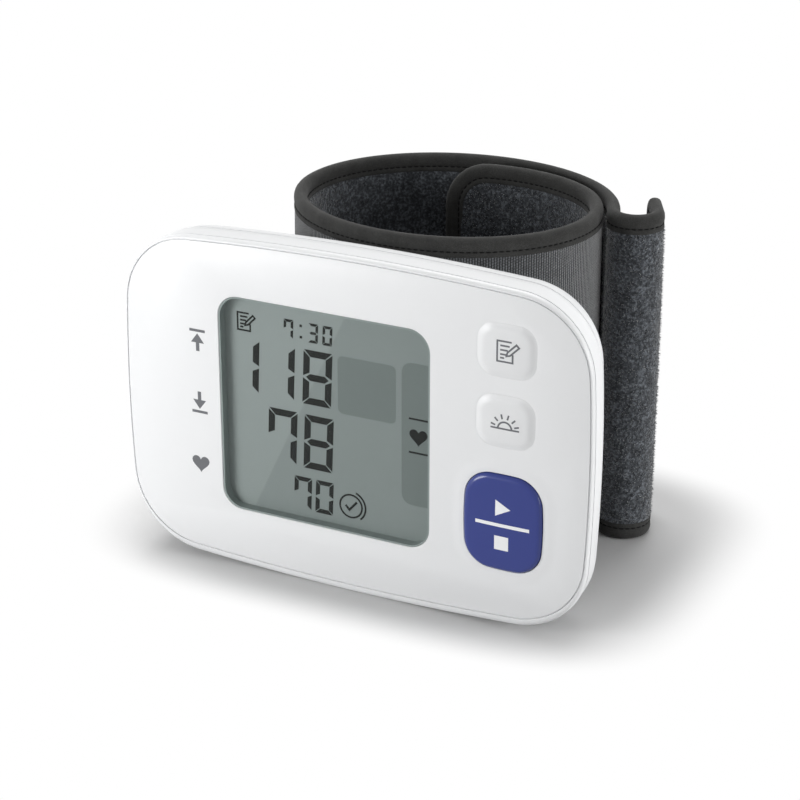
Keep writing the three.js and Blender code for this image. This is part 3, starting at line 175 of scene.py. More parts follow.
def soft_step(tree, value, start, end):
    """A smooth rise from zero at the start to one at the end, as a socket."""
    node = add_node(tree, "ShaderNodeMapRange", interpolation_type="SMOOTHSTEP", Value=value,
                    From_Min=start, From_Max=end)
    return node.outputs["Result"]


def finish_material(name, colour, roughness, **settings):
    """A new material with its tree and its Principled shader."""
    material = bpy.data.materials.new(name)
    material.use_nodes = True
    tree = material.node_tree
    shader = tree.nodes["Principled BSDF"]
    connect(tree, shader, Base_Color=linear(colour), Roughness=roughness, **settings)
    return material, tree, shader


def bump_from(tree, shader, height, depth_mm, strength=1.0):
    """Feeds a height to the shader's normal."""
    bump = add_node(tree, "ShaderNodeBump", Height=height, Distance=depth_mm * MM, Strength=strength)
    connect(tree, shader, Normal=bump.outputs["Normal"])


print("materials before the first finish", len(bpy.data.materials))

# %% [markdown]
# Moulded plastic is never perfectly even. The mould leaves a fine grain, and handling leaves broad
# patches that shine a little differently. Both could be pictures on an unwrapped mesh. Noise on
# Object coordinates needs no unwrapping, and its grain has one size on every piece.

# %% Moulded grain
PATCH_SCALE = 45.0
GRAIN_STRENGTH = 0.5


def make_moulded_grain():
    sizes = {"Grain Scale": 3000.0, "Gloss": 0.35, "Gloss Change": 0.06}
    results = {"Height": 0.0, "Roughness": 0.0}
    tree, given, out = named_tree("ShaderNodeTree", "moulded grain", sizes, results)
    place = object_place(tree)
    grain = add_node(tree, "ShaderNodeTexNoise", Vector=place, Scale=given["Grain Scale"], Detail=2.0)
    patches = add_node(tree, "ShaderNodeTexNoise", Vector=place, Scale=PATCH_SCALE, Detail=3.0)
    gloss = calculate(tree, "MULTIPLY_ADD", patches.outputs["Fac"], given["Gloss Change"], given["Gloss"])
    connect(tree, out, Height=grain.outputs["Fac"], Roughness=gloss)
    return tree


MOULDED_GRAIN = make_moulded_grain()


def moulded(name, colour, gloss, grain_mm=0.3, depth_mm=0.003, gloss_change=0.06, **settings):
    """A plastic or a metal whose roughness and fine bump come from the moulded grain."""
    material, tree, shader = finish_material(name, colour, gloss, **settings)
    grain = add_node(tree, "ShaderNodeGroup", node_tree=MOULDED_GRAIN, Grain_Scale=1 / (grain_mm * MM),
                     Gloss=gloss - gloss_change / 2, Gloss_Change=gloss_change)
    bump_from(tree, shader, grain.outputs["Height"], depth_mm, GRAIN_STRENGTH)
    connect(tree, shader, Roughness=grain.outputs["Roughness"])
    return material


CASE_WHITE = moulded("case white", "#e9eaeb", 0.36)
KEY_WHITE = moulded("key white", "#e4e5e6", 0.4)
KEY_BLUE = moulded("key blue", "#1d3080", 0.3, Specular_IOR_Level=0.4, Coat_Weight=0.3, Coat_Roughness=0.05)
INNER_PLASTIC = moulded("inner plastic", "#d5d6d8", 0.55)
DARK_PLASTIC = moulded("dark plastic", "#303134", 0.5)
SILICONE = moulded("silicone", "#b9bcc0", 0.7)
BLADDER_FILM = moulded("bladder film", "#55585c", 0.55, grain_mm=0.6)
STEEL = moulded("steel", "#c4c7ca", 0.3, depth_mm=0.002, Metallic=1.0)
CELL_JACKET = moulded("cell jacket", "#44474c", 0.3, Metallic=0.7)
BOARD_GREEN = moulded("board green", "#1f6b45", 0.4)
GASKET_GREY = moulded("gasket grey", "#909a98", 0.7, Specular_IOR_Level=0.1)
PRINT_GREY = moulded("print grey", "#64666a", 0.5)
PRINT_WHITE = moulded("print white", "#f4f5f6", 0.45)
LCD_INK = moulded("lcd ink", "#2a2c2b", 0.6, Specular_IOR_Level=0.1)
LCD_SHADE = moulded("lcd shade", "#7d8785", 0.6, Specular_IOR_Level=0.1)
print("plastics, metals and prints", len(bpy.data.materials))

# %% [markdown]
# ## Mesh helpers
# The case and the keys share one kind of outline: four flat arcs joined by four corner arcs.
# A solid is a stack of such rings with different insets, closed by a cap at each end. A Bevel
# modifier could round the edges of a block, but rings also give grooves and tapering walls, as
# real geometry with enough points for a smooth silhouette.

# %% Outlines
CASE = (91.0, 63.4, 500.0, 300.0, 14.2)


def corner_centre(form):
    """Middle of the upper right corner arc, which touches both neighbours from the inside."""
    width, height, long_bulge, side_bulge, corner = form
    top = np.array([0, height / 2 - long_bulge])
    across = np.array([width / 2 - side_bulge, 0]) - top
    gap = np.linalg.norm(across)
    to_top, to_side = long_bulge - corner, side_bulge - corner
    along = (to_top ** 2 - to_side ** 2 + gap ** 2) / (2 * gap)
    unit = across / gap
    normal = np.array([-unit[1], unit[0]]) * math.sqrt(to_top ** 2 - along ** 2)
    return top + unit * along + normal * (1 if normal.sum() > 0 else -1)


def bulged_outline(form, inset=0.0, side_steps=14, corner_steps=16):
    """Points (x, z) of a form (width, height, two bulges, corner), anticlockwise from the front."""
    width, height, long_bulge, side_bulge, corner = form
    cx, cz = corner_centre(form)
    right, up, half = width / 2 - side_bulge, height / 2 - long_bulge, math.pi
    side, top = math.atan2(cz, cx - right), math.atan2(cz - up, cx)
    arcs = [
        (right, 0, side_bulge, -side, side, side_steps),
        (cx, cz, corner, side, top, corner_steps),
        (0, up, long_bulge, top, half - top, side_steps),
        (-cx, cz, corner, half - top, half - side, corner_steps),
        (-right, 0, side_bulge, half - side, half + side, side_steps),
        (-cx, -cz, corner, half + side, half + top, corner_steps),
        (0, -up, long_bulge, half + top, 2 * half - top, side_steps),
        (cx, -cz, corner, 2 * half - top, 2 * half - side, corner_steps),
    ]
    return np.concatenate([
        np.stack([x + (radius - inset) * np.cos(a), z + (radius - inset) * np.sin(a)], -1)
        for x, z, radius, start, end, steps in arcs
        for a in [np.linspace(start, end, steps, endpoint=False)]
    ])


def rounded_rectangle(width, height, radius, steps=12):
    """Points (x, z) of a rectangle with round corners, anticlockwise."""
    points = []
    for quarter, (sx, sz) in enumerate(((1, 1), (-1, 1), (-1, -1), (1, -1))):
        a = np.linspace(0, math.pi / 2, steps) + quarter * math.pi / 2
        centre = np.array([sx * (width / 2 - radius), sz * (height / 2 - radius)])
        points.append(centre + radius * np.stack([np.cos(a), np.sin(a)], -1))
    return np.concatenate(points)


def circle(radius, steps=32):
    a = np.linspace(0, 2 * math.pi, steps, endpoint=False)
    return radius * np.stack([np.cos(a), np.sin(a)], -1)


print("points of the case's outline", len(bulged_outline(CASE)))

# %% Stacks of rings
def ring(outline, x, z, depth):
    """An outline in millimetres as points in metres, at a depth behind the face."""
    depths = np.full(len(outline), FACE_Y + depth * MM)
    return np.stack([(outline[:, 0] + x) * MM, depths, (outline[:, 1] + z) * MM], -1)


def plain_object(name, points, edges, faces):
    """An object from points, edges and faces as they are."""
    mesh = bpy.data.meshes.new(name)
    mesh.from_pydata([tuple(p) for p in points], edges, faces)
    made = bpy.data.objects.new(name, mesh)
    bpy.context.collection.objects.link(made)
    return made


def mesh_object(name, points, faces):
    """An object from points and faces, with all faces turned outwards."""
    made = plain_object(name, points, [], faces)
    work = bmesh.new()
    work.from_mesh(made.data)
    bmesh.ops.recalc_face_normals(work, faces=work.faces)
    work.to_mesh(made.data)
    work.free()
    return made


def grid_faces(many, rows, first=0, closed=False):
    """Faces between many neighbouring lines of points, each open or closed to a ring."""
    lines = [(first + i * rows, first + (i + 1) * rows) for i in range(many - 1)]
    return [(a + j, b + j, b + (j + 1) % rows, a + (j + 1) % rows)
            for a, b in lines for j in range(rows if closed else rows - 1)]


def stacked(name, rings):
    """The closed skin over rings of equal count."""
    count, last = len(rings[0]), (len(rings) - 1) * len(rings[0])
    caps = [tuple(range(count)), tuple(last + i for i in range(count))]
    return mesh_object(name, np.concatenate(rings), caps + grid_faces(len(rings), count, closed=True))


print("faces between two rings of four points", len(grid_faces(2, 4, closed=True)))

# %% Cuts and finishes
def baked(made):
    """Turns an object's evaluated modifiers into its own plain mesh."""
    graph = bpy.context.evaluated_depsgraph_get()
    mesh = bpy.data.meshes.new_from_object(made.evaluated_get(graph))
    made.modifiers.clear()
    made.data = mesh
    return made


def carve(base, tools, operation="DIFFERENCE"):
    """Cuts tools out of a solid, joins them to it or keeps what they share, and removes the tools."""
    for tool in tools:
        cut = base.modifiers.new("cut", "BOOLEAN")
        cut.operation, cut.solver, cut.object = operation, "EXACT", tool
        baked(base)
        bpy.data.objects.remove(tool)
    return base


def dressed(made, material, body=None, replaced=(), sharp=32):
    """Smooth shading up to an angle, a material, a body, and the CAD nodes that it stands for."""
    made.data.materials.clear()
    made.data.materials.append(material)
    made.data.shade_smooth()
    made.data.set_sharp_from_angle(angle=math.radians(sharp))
    if body:
        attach(made, body)
    if replaced:
        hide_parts(*replaced)
    return made


print("construction pieces to dress", len(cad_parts))

# %% [markdown]
# ## Front cover
# The face ends in a fine line, then comes a narrow rolled rim, a second line and the side wall.
# Each line is a small groove in the stack of rings. The face sits a little high in the outline of
# the case, so the rim is wider below. The openings for the window and the keys are cut with a
# Boolean, because their outlines have nothing to do with the outline of the case.

# %% Front cover stack
FACE = (90.2, 61.2, 500.0, 300.0, 13.5)
FACE_RISE = 0.4
CASE_DEPTH = 13.4
MID_Z = CASE[1] / 2
PARTING = 5.6
WALL = 1.6
COVER_END_DRAFT = 0.45
FACE_GROOVE = [(0.0, 0.28), (0.03, 0.2), (0.36, 0.16), (0.36, 0.0), (0.03, -0.04)]
RIM_DEPTH, RIM_START, RIM_SHARE = 0.98, 0.02, 0.08
RIM_FIRST_ANGLE, RIM_STEPS = 0.1, 8
RIM_GROOVE = [(1.0, 0.34), (1.22, 0.34), (1.25, 0.0)]
SIDE_WALL = [(1.7, 0, 0.05), (3.4, 0, 0.24), (5.25, 0, 0.43), (5.45, 0.12, COVER_END_DRAFT)]


def case_ring(depth, inset=0.0, narrowing=0.0, share=1.0):
    """A ring between the outline of the face (share 0) and that of the case (share 1)."""
    form = [f + (c - f) * share for f, c in zip(FACE, CASE)]
    form[0] -= 2 * narrowing
    return ring(bulged_outline(form, inset), 0, MID_Z + FACE_RISE * (1 - share), depth)


def rim_ring(angle):
    """A ring of the rolled rim, at an angle of its quarter circle."""
    share = RIM_SHARE + (1 - RIM_SHARE) * math.sin(angle)
    return case_ring(RIM_START + RIM_DEPTH * (1 - math.cos(angle)), share=share)


cover = stacked("front_shell", [
    *[case_ring(depth, inset, share=0) for depth, inset in FACE_GROOVE],
    *[rim_ring(angle) for angle in np.linspace(RIM_FIRST_ANGLE, math.pi / 2, RIM_STEPS)],
    *[case_ring(depth, inset) for depth, inset in RIM_GROOVE],
    *[case_ring(*step) for step in SIDE_WALL],
])
print("cover stack", len(cover.data.vertices), "points")

# %% Front cover openings
WINDOW = (41.3, 40.8, 4.0)
WINDOW_X, WINDOW_Z = -5.15, 32.1
KEY_X = 29.6
SMALL_KEY = (10.9, 9.6, 60.0, 60.0, 3.2)
START_KEY = (14.6, 17.9, 60.0, 60.0, 5.0)
KEY_PLACES = {"memory": (51.7, SMALL_KEY, 0.68, 0.02), "morning": (39.0, SMALL_KEY, 0.68, 0.02),
              "start_stop": (20.4, START_KEY, 1.0, 0.12)}
COLLAR = [(-0.14, -0.7), (-0.13, -1.0), (-0.1, -1.4), (-0.05, -1.8), (-0.015, -2.2), (-0.003, -2.6),
          (0.5, -2.7)]
SEAT = [(-1, -0.16), (0.0, -0.16), (0.05, -0.08), (0.14, -0.04), (1.15, -0.04)]
COVER_HOLLOW = [(WALL, 2.2), (2.2, 1.6), (PARTING + 2, 1.6)]
THROUGH = (-2, WALL + 2)


def window_stack(name, sections):
    """A solid over the window's outline, from sections (depth, inset)."""
    width, height, radius = WINDOW
    return stacked(name, [
        ring(rounded_rectangle(width - 2 * i, height - 2 * i, radius - i), WINDOW_X, WINDOW_Z, d)
        for d, i in sections])


def key_stack(name, form, z, sections):
    """A solid over a key's outline, from sections (depth, inset)."""
    return stacked(name, [ring(bulged_outline(form, i), KEY_X, z, d) for d, i in sections])


carve(cover, [key_stack("collar", START_KEY, KEY_PLACES["start_stop"][0], COLLAR)], "UNION")
hollow = stacked("hollow", [case_ring(depth, inset) for depth, inset in COVER_HOLLOW])
seat = window_stack("seat", SEAT)
view = window_stack("view", [(depth, 0.0) for depth in THROUGH])
openings = [key_stack("opening", form, z, [(depth, -gap) for depth in THROUGH])
            for z, form, _, gap in KEY_PLACES.values()]
carve(cover, [hollow, seat, view, *openings])
dressed(cover, CASE_WHITE, "root", ["front_cover"])
print("front cover faces", len(cover.data.polygons))

# %% [markdown]
# ## Rear case
# Behind the parting line the case rounds away to a flat back, and its ends draw in a little. A thin
# tongue fills the line between the halves a little below the surface, so that one can't look in.
# The battery bay stands out of the back at the left, with a real pocket for the cells. Rings give
# the rounding. Booleans join the bay to it and cut the hollow spaces, which is simpler than drawing
# each inner wall by hand.

# %% Rear case
REAR_START = PARTING + 0.15
REAR_INNER = CASE_DEPTH - WALL
ROUNDING = 6.4
SEAM_INSET = 0.12
ROUND_START, ROUND_END = 1.8, 0.48
DRAW_IN, DRAW_SHARE = 0.55, 0.36
TONGUE_REACH, TONGUE_INSET, SEAM_STEP = 0.13, 0.55, 0.24
REAR_SHARES = (0.015, 0.08, 0.16, 0.26, 0.36, 0.46, 0.56, 0.65, 0.73, 0.80, 0.86, 0.91, 0.95, 0.98, 0.995,
               1.0)
REAR_HOLLOW = [(REAR_START - 2, 2.2), (9.58, 2.2), (10.8, 2.88), (REAR_INNER, 6.0)]


def rear_ring(share):
    """A ring of the rear case from the parting line (share 0) to the back (share 1)."""
    inset = SEAM_INSET + (ROUNDING - SEAM_INSET) * (1 - (1 - share ** ROUND_START) ** ROUND_END)
    narrowing = 1 - DRAW_IN * max(0, 1 - share / DRAW_SHARE) ** 2
    return case_ring(REAR_START + (CASE_DEPTH - REAR_START) * share, inset, narrowing)


tongue = [case_ring(depth, inset, COVER_END_DRAFT) for depth, inset in (
    (PARTING - TONGUE_REACH, TONGUE_INSET), (REAR_START, TONGUE_INSET), (REAR_START, SEAM_STEP))]
rear = stacked("rear_shell", tongue + [rear_ring(share) for share in REAR_SHARES])
carve(rear, [stacked("rear_hollow", [case_ring(depth, inset, 1) for depth, inset in REAR_HOLLOW])])
print("rear case faces", len(rear.data.polygons))

# %% Battery bay
BAY = (24.5, 52.3, 500.0, 500.0, 3.0)
BAY_X, BAY_Z = -31.25, 30.2
BAY_FRONT, BAY_RIM = 4.9, 17.0
BAY_WALL = 1.4
FAR_FRONT, FAR_BACK = 2.9, 20
BAY_EDGE = [(BAY_FRONT, 0.0), (BAY_RIM - 0.25, 0.0), (BAY_RIM - 0.07, 0.07), (BAY_RIM, 0.25)]
INSIDE_CASE = [(FAR_FRONT, 1.9), (REAR_START, 1.9), (REAR_START + 0.02, 0.3), (FAR_BACK, 0.3)]
POCKET_INSET, POCKET_CORNER = 1.7, 0.8


def bay_stack(name, sections):
    """A solid over the bay's outline, from sections (depth, inset)."""
    return stacked(name, [ring(bulged_outline(BAY, i), BAY_X, BAY_Z, d) for d, i in sections])


def block(name, x0, x1, y0, y1, z0, z1, corner=0.25):
    """A block whose four edges along the depth are round."""
    outline = rounded_rectangle(x1 - x0, z1 - z0, corner, 4)
    return stacked(name, [ring(outline, (x0 + x1) / 2, (z0 + z1) / 2, y) for y in (y0, y1)])


bay = bay_stack("bay", BAY_EDGE)
within_case = stacked("within_case", [case_ring(depth, inset) for depth, inset in INSIDE_CASE])
carve(bay, [within_case], "INTERSECT")
half_width, half_height = BAY[0] / 2 - BAY_WALL, BAY[1] / 2 - BAY_WALL
pocket = block("pocket", BAY_X - half_width, BAY_X + half_width, BAY_FRONT + BAY_WALL, BAY_RIM + 2,
               BAY_Z - half_height, BAY_Z + half_height, POCKET_CORNER)
within_wall = stacked("within_wall", [case_ring(d, POCKET_INSET, 1) for d in (FAR_FRONT, FAR_BACK)])
carve(pocket, [within_wall], "INTERSECT")
carve(rear, [bay], "UNION")
carve(rear, [pocket])
print("rear case faces with the bay", len(rear.data.polygons))

# %% [markdown]
# ## Cuff cradles, screw wells and battery cover
# Two wedges on the back carry the curve of the cuff, so their tops follow the cuff's outer face.
# Four round wells take the heads of the case screws. The battery cover is a plate with the outline
# of the bay, a soft edge and seven grooves for the thumb. Each could be a model of its own, but as
# stacks like the case they use its values and stay in line with it.

# %% Cradles and wells
BAND = 2.21
LOOP_X = 1.0
LOOP_HALF_WIDTH, LOOP_HALF_DEPTH = 27.8, 23.7
LOOP_GAP = 0.3
LOOP_Y = CASE_DEPTH + LOOP_GAP + BAND / 2 + LOOP_HALF_DEPTH
CRADLE_INNER, CRADLE_OUTER, CRADLE_HALF_HEIGHT = 9.0, 17.0, 21.5
CRADLE_GAP, CRADLE_ROOT = 0.8, REAR_INNER + 0.3
SCREW_NODES = [f"case_screw_{i}" for i in (1, 2, 3, 4)]
SCREW_HEAD, SCREW_SINK, WELL_GAP = 0.9, 1.1, 0.2


def cradle(side):
    """One of the two wedges on the back, whose top follows the cuff's outer face."""
    reach = np.linspace(CRADLE_INNER, CRADLE_OUTER, 13)
    bend = np.sqrt(1 - (reach / (LOOP_HALF_WIDTH + BAND / 2)) ** 2)
    face = LOOP_Y - (LOOP_HALF_DEPTH + BAND / 2) * bend - CRADLE_GAP
    plan = [(LOOP_X + side * r, y) for r, y in zip(reach, face)]
    plan += [(LOOP_X + side * r, CRADLE_ROOT) for r in (CRADLE_OUTER, CRADLE_INNER)]
    levels = [MID_Z + s * CRADLE_HALF_HEIGHT for s in (-1, 1)]
    return stacked("cradle", [
        np.array([(x * MM, FACE_Y + y * MM, z * MM) for x, y in plan]) for z in levels])


def well(low, high):
    """The round recess for a screw's head."""
    middle, radius = (low + high) / 2 / MM, (high.x - low.x) / 2 / MM + WELL_GAP
    bottom = (high.y - FACE_Y) / MM - SCREW_HEAD - SCREW_SINK
    return stacked("well", [ring(circle(radius), middle.x, middle.z, d) for d in (bottom, CASE_DEPTH + 2)])


carve(rear, [cradle(-1), cradle(1)], "UNION")
screw_boxes = [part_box(node) for node in SCREW_NODES]
carve(rear, [well(low, high) for low, high in screw_boxes])
dressed(rear, CASE_WHITE, "root", ["rear_case"])
print("finished rear case faces", len(rear.data.polygons))

# %% Battery cover
LID_EDGE = [(17.3, 0.1), (17.4, 0.0), (17.9, 0.03), (18.2, 0.14), (18.45, 0.34), (18.6, 0.6), (18.68, 0.85),
            (18.7, 1.1)]
GRIP_GROOVES, GROOVE_HALF, GROOVE_WIDTH, GROOVE_PITCH, GROOVE_RISE = 7, 6, 0.6, 1.3, 13
GROOVE_FLOOR, GROOVE_TOP = 18.5, 18.9

lid = bay_stack("battery_lid_shell", LID_EDGE)
for i in range(GRIP_GROOVES):
    low = BAY_Z + GROOVE_RISE + GROOVE_PITCH * i
    carve(lid, [block("groove", BAY_X - GROOVE_HALF, BAY_X + GROOVE_HALF, GROOVE_FLOOR, GROOVE_TOP,
                      low, low + GROOVE_WIDTH)])
dressed(lid, CASE_WHITE, "battery_lid", ["battery_cover"])
print("battery cover faces", len(lid.data.polygons))

# %% [markdown]
# ## Case screws
# Four equal screws hold the rear case. One could be modelled and copied by hand. A Geometry Nodes
# tree keeps their sizes in one place instead: it builds a head with a cross recess and a shank, and
# puts a copy on each of four points.

# %% Geometry Nodes helpers
def shape_tree(name, sizes):
    """An empty Geometry Nodes tree with named sizes, its inputs and its end."""
    return named_tree("GeometryNodeTree", name, {"Geometry": None, **sizes}, {"Geometry": None})


def grown(carrier, tree, sizes):
    """Runs a tree on a carrier object with named sizes and keeps the result as a plain mesh."""
    modifier = carrier.modifiers.new(tree.name, "NODES")
    modifier.node_group = tree
    for item in tree.interface.items_tree:
        if item.in_out == "INPUT" and item.name in sizes:
            modifier[item.identifier] = sizes[item.name]
    return baked(carrier)


def finish_tree(tree, copies, out, material):
    """Ends a tree in Realize Instances and Set Material."""
    real = add_node(tree, "GeometryNodeRealizeInstances", Geometry=copies.outputs[0])
    painted = add_node(tree, "GeometryNodeSetMaterial", Geometry=real.outputs[0], Material=material)
    connect(tree, out, Geometry=painted.outputs[0])


print("screw places", len(screw_boxes))

# %% Case screws
low, high = screw_boxes[0]
SCREW_SIZES = {"Head Radius": (high.x - low.x) / 2, "Head Height": SCREW_HEAD * MM,
               "Shank Radius": 0.9 * MM, "Shank Length": high.y - low.y - SCREW_HEAD * MM}
RECESS_LONG, RECESS_WIDE, RECESS_DEEP = 2.2 * MM, 0.5 * MM, 0.9 * MM


def screw_tree():
    tree, given, out = shape_tree("case screws", SCREW_SIZES)
    head, shank = [
        add_node(tree, "GeometryNodeMeshCylinder", Vertices=sides, Radius=given[f"{name} Radius"],
                 Depth=given[length])
        for name, sides, length in (("Head", 32, "Head Height"), ("Shank", 16, "Shank Length"))]
    cross = add_node(tree, "GeometryNodeMeshBoolean", operation="DIFFERENCE", Mesh_1=head.outputs["Mesh"])
    for wide, long in ((RECESS_LONG, RECESS_WIDE), (RECESS_WIDE, RECESS_LONG)):
        bar = add_node(tree, "GeometryNodeMeshCube", Size=(wide, long, RECESS_DEEP))
        raised = add_node(tree, "GeometryNodeTransform", Geometry=bar.outputs["Mesh"],
                          Translation=(0, 0, RECESS_DEEP / 2))
        connect(tree, cross, Mesh_2=raised.outputs[0])
    both = calculate(tree, "ADD", given["Head Height"], given["Shank Length"])
    below = add_node(tree, "ShaderNodeCombineXYZ", Z=calculate(tree, "MULTIPLY", both, -0.5))
    lowered = add_node(tree, "GeometryNodeTransform", Geometry=shank.outputs["Mesh"],
                       Translation=below.outputs[0])
    whole = add_node(tree, "GeometryNodeJoinGeometry", Geometry=cross.outputs["Mesh"])
    connect(tree, whole, Geometry=lowered.outputs[0])
    turned = add_node(tree, "GeometryNodeTransform", Geometry=whole.outputs[0], Rotation=(-math.pi / 2, 0, 0))
    copies = add_node(tree, "GeometryNodeInstanceOnPoints", Points=given["Geometry"],
                      Instance=turned.outputs[0])
    finish_tree(tree, copies, out, STEEL)
    return tree


screw_points = [((a.x + b.x) / 2, b.y - (SCREW_HEAD / 2 + SCREW_SINK) * MM, (a.z + b.z) / 2)
                for a, b in screw_boxes]
screws = grown(mesh_object("case_screws", screw_points, []), screw_tree(), SCREW_SIZES)
dressed(screws, STEEL, "root", SCREW_NODES)
print("screws", len(screws.data.polygons), "faces")

# %% [markdown]
# ## Keys
# The white keys are soft caps that swell out of the cover, so their edge is a slow S curve. The blue
# key is a glossy cap with a crisp gap round it, and its edge is a quarter circle. A plain Bevel gives
# a quarter circle and no S curve, so both kinds are stacks of rings. A shallow dome on top lets a
# highlight run round each cap.

# %% Key caps
DOME = 0.14
DOME_SHARES = (0.04, 0.2, 0.4, 0.6, 0.8, 0.92)
CAP_FOOT = 2.6
SOFT_EDGE = [(0.0, 0.0), (0.16, 0.06), (0.38, 0.2), (0.62, 0.42), (0.85, 0.62), (1.1, 0.79), (1.4, 0.91),
             (1.75, 0.98), (2.1, 1.0)]
CRISP_EDGE = [(1 - math.cos(a), math.sin(a)) for a in np.linspace(0, math.pi / 2, 11)]
KEY_EDGES = {"memory": SOFT_EDGE, "morning": SOFT_EDGE, "start_stop": CRISP_EDGE}
WHITE_CAP = (KEY_WHITE, "key_white", PRINT_GREY)
BLUE_CAP = (KEY_BLUE, "key_blue", PRINT_WHITE)
KEY_FINISHES = {"memory": WHITE_CAP, "morning": WHITE_CAP, "start_stop": BLUE_CAP}


def cap_depth(x, z, key):
    """Depth of a cap's domed top at a point (x, z), for the marks on it."""
    key_z, form, proud, _ = KEY_PLACES[key]
    edge = KEY_EDGES[key][-1][0]
    share = max(abs(x - KEY_X) / (form[0] / 2 - edge), abs(z - key_z) / (form[1] / 2 - edge))
    return -proud + DOME * min(1, share) ** 2


def key_cap(key):
    """A cap whose edge is drawn as (inset, share of the height), under a shallow dome."""
    z, form, proud, _ = KEY_PLACES[key]
    edge = KEY_EDGES[key]
    rim = bulged_outline(form, edge[-1][0])
    dome = [ring(rim * s, KEY_X, z, -proud + DOME * s ** 2) for s in DOME_SHARES]
    side = [ring(bulged_outline(form, i), KEY_X, z, -(proud - DOME) * h) for i, h in reversed(edge)]
    return stacked(f"{key}_cap", dome + side + [ring(bulged_outline(form), KEY_X, z, CAP_FOOT)])


for key, (finish, slot, _) in KEY_FINISHES.items():
    cap = dressed(key_cap(key), finish, f"{key}_key", [f"{key}_button"], sharp=60)
    print(cap.name, len(cap.data.polygons), "faces")

# %% [markdown]
# ## Window and display
# The window is a clear plate, slightly below the face, in a thin grey gasket that closes the gap to
# the panel. A refracting glass would cast a dark shadow on the panel, so the plate is mostly
# see-through by its Alpha and keeps a sharp gloss. The panel is a little paler on one side of a
# slanting line, which is a painted reflection.

# %% Window plate and gasket
LENS_FRONT, LENS_BACK, PANEL_FRONT = 0.1, 0.95, 1.9
GASKET_INSET = 0.3
GASKET_SECTIONS = [(LENS_FRONT + 0.03, 0.02), (PANEL_FRONT - 0.02, 0.02)]
PLATE_SECTIONS = [(LENS_FRONT, 0.1), (LENS_FRONT + 0.04, 0.05), (LENS_FRONT + 0.12, 0.02),
                  (LENS_BACK - 0.05, 0.02), (LENS_BACK, 0.07)]
WINDOW_CLEAR = moulded("window clear", "#262c2a", 0.04, depth_mm=0.0005, gloss_change=0.02, Alpha=0.06,
                       IOR=1.49)

plate = window_stack("window_plate", [(depth, GASKET_INSET + inset) for depth, inset in PLATE_SECTIONS])
dressed(plate, WINDOW_CLEAR, "root", ["display_window"])
gasket = window_stack("display_gasket", GASKET_SECTIONS)
carve(gasket, [window_stack("view", [(depth, GASKET_INSET) for depth in THROUGH])])
dressed(gasket, GASKET_GREY, "root")
print("window plate", len(plate.data.polygons), "faces, gasket", len(gasket.data.polygons))

# %% Display panel finish
REFLECTION_SLOPE, REFLECTION_START, REFLECTION_EDGE = -0.473, 0.026, 0.0003


def lcd_glass():
    material, tree, shader = finish_material("lcd glass", "#858f8b", 0.55, Specular_IOR_Level=0.15)
    place = axes(tree, object_place(tree))
    # The panel's colour is a little paler on one side of a slanting line across it: a painted reflection.
    slanting = calculate(tree, "MULTIPLY_ADD", place["Z"], REFLECTION_SLOPE, REFLECTION_START)
    film = soft_step(tree, calculate(tree, "ADD", place["X"], slanting), -REFLECTION_EDGE, REFLECTION_EDGE)
    connect(tree, shader, Base_Color=ramp(tree, film, [(0.0, "#9ba5a3"), (1.0, "#909a98")]))
    return material


LCD_GLASS = lcd_glass()
print("finish of the panel", LCD_GLASS.name)

# %% [markdown]
# ## Inside
# Most pieces inside the case keep their construction meshes and only get their finishes. The panel
# shows through the window, and contacts and springs show when the battery cover is off. The others
# stay hidden, so a finer model of them would change nothing that one sees.

# %% Finishes of the inner pieces
INNER_FINISHES = {
    LCD_GLASS: ["lcd_panel"],
    INNER_PLASTIC: ["lcd_holder", "cuff_nozzle"],
    SILICONE: ["lcd_connector_strip", "button_mat", "pump_tube", "sensor_tube"],
    BOARD_GREEN: ["main_board"],
    DARK_PLASTIC: ["memory_switch", "morning_switch", "start_stop_switch", "processor_chip", "buzzer",
                   "pressure_sensor", "pump_head", "air_manifold"],
    STEEL: ["board_screw_1", "board_screw_2", "pump_motor", "exhaust_valve", "battery_spring_1",
            "battery_spring_2", "contact_bridge", "contact_minus", "contact_plus", "cuff_rivet_1",
            "cuff_rivet_2"],
}
for finish, names in INNER_FINISHES.items():
    for node_name in names:
        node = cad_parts[node_name]
        node.data.materials.clear()
        node.data.materials.append(finish)
print("inner pieces", sum(len(names) for names in INNER_FINISHES.values()))

# %% [markdown]
# ## Cells
# The two cells show when the battery cover is off, so they get a round jacket with a metal end and
# a small cap at the other. A cell is a body of revolution, so it is a stack of circles. The cells
# lie head to tail.

# %% Cells
CELL_FOOT = [(0.0, 0.7), (0.0, 0.86), (0.25, 0.97), (0.5, 1.0)]
CELL_HEAD = [(-1.9, 1.0), (-1.6, 0.97), (-1.4, 0.88), (-1.3, 0.5), (-1.2, 0.38), (-0.15, 0.37), (0.0, 0.3)]
JACKET_MARGIN = 0.9
CELL_STEPS = 48


def cell(name, up):
    """A cell in its node's box, with its cap at the top or at the bottom."""
    low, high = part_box(name)
    middle, radius, long = (low + high) / 2, (high.x - low.x) / 2, high.z - low.z
    profile = [(rise * MM, share) for rise, share in CELL_FOOT]
    profile += [(long + rise * MM, share) for rise, share in CELL_HEAD]
    rings = []
    for along, share in profile:
        outline = circle(radius * share, CELL_STEPS) + np.array([middle.x, middle.y])
        level = low.z + along if up else high.z - along
        rings.append(np.column_stack([outline, np.full(CELL_STEPS, level)]))
    made = dressed(stacked(f"{name}_cell", rings), CELL_JACKET, "root", [name])
    made.data.materials.append(STEEL)
    for face in made.data.polygons:
        inside = min(face.center.z - low.z, high.z - face.center.z)
        face.material_index = int(inside < JACKET_MARGIN * MM)
    return made


for node_name, up in (("battery_1", True), ("battery_2", False)):
    print(node_name, len(cell(node_name, up).data.polygons), "faces")
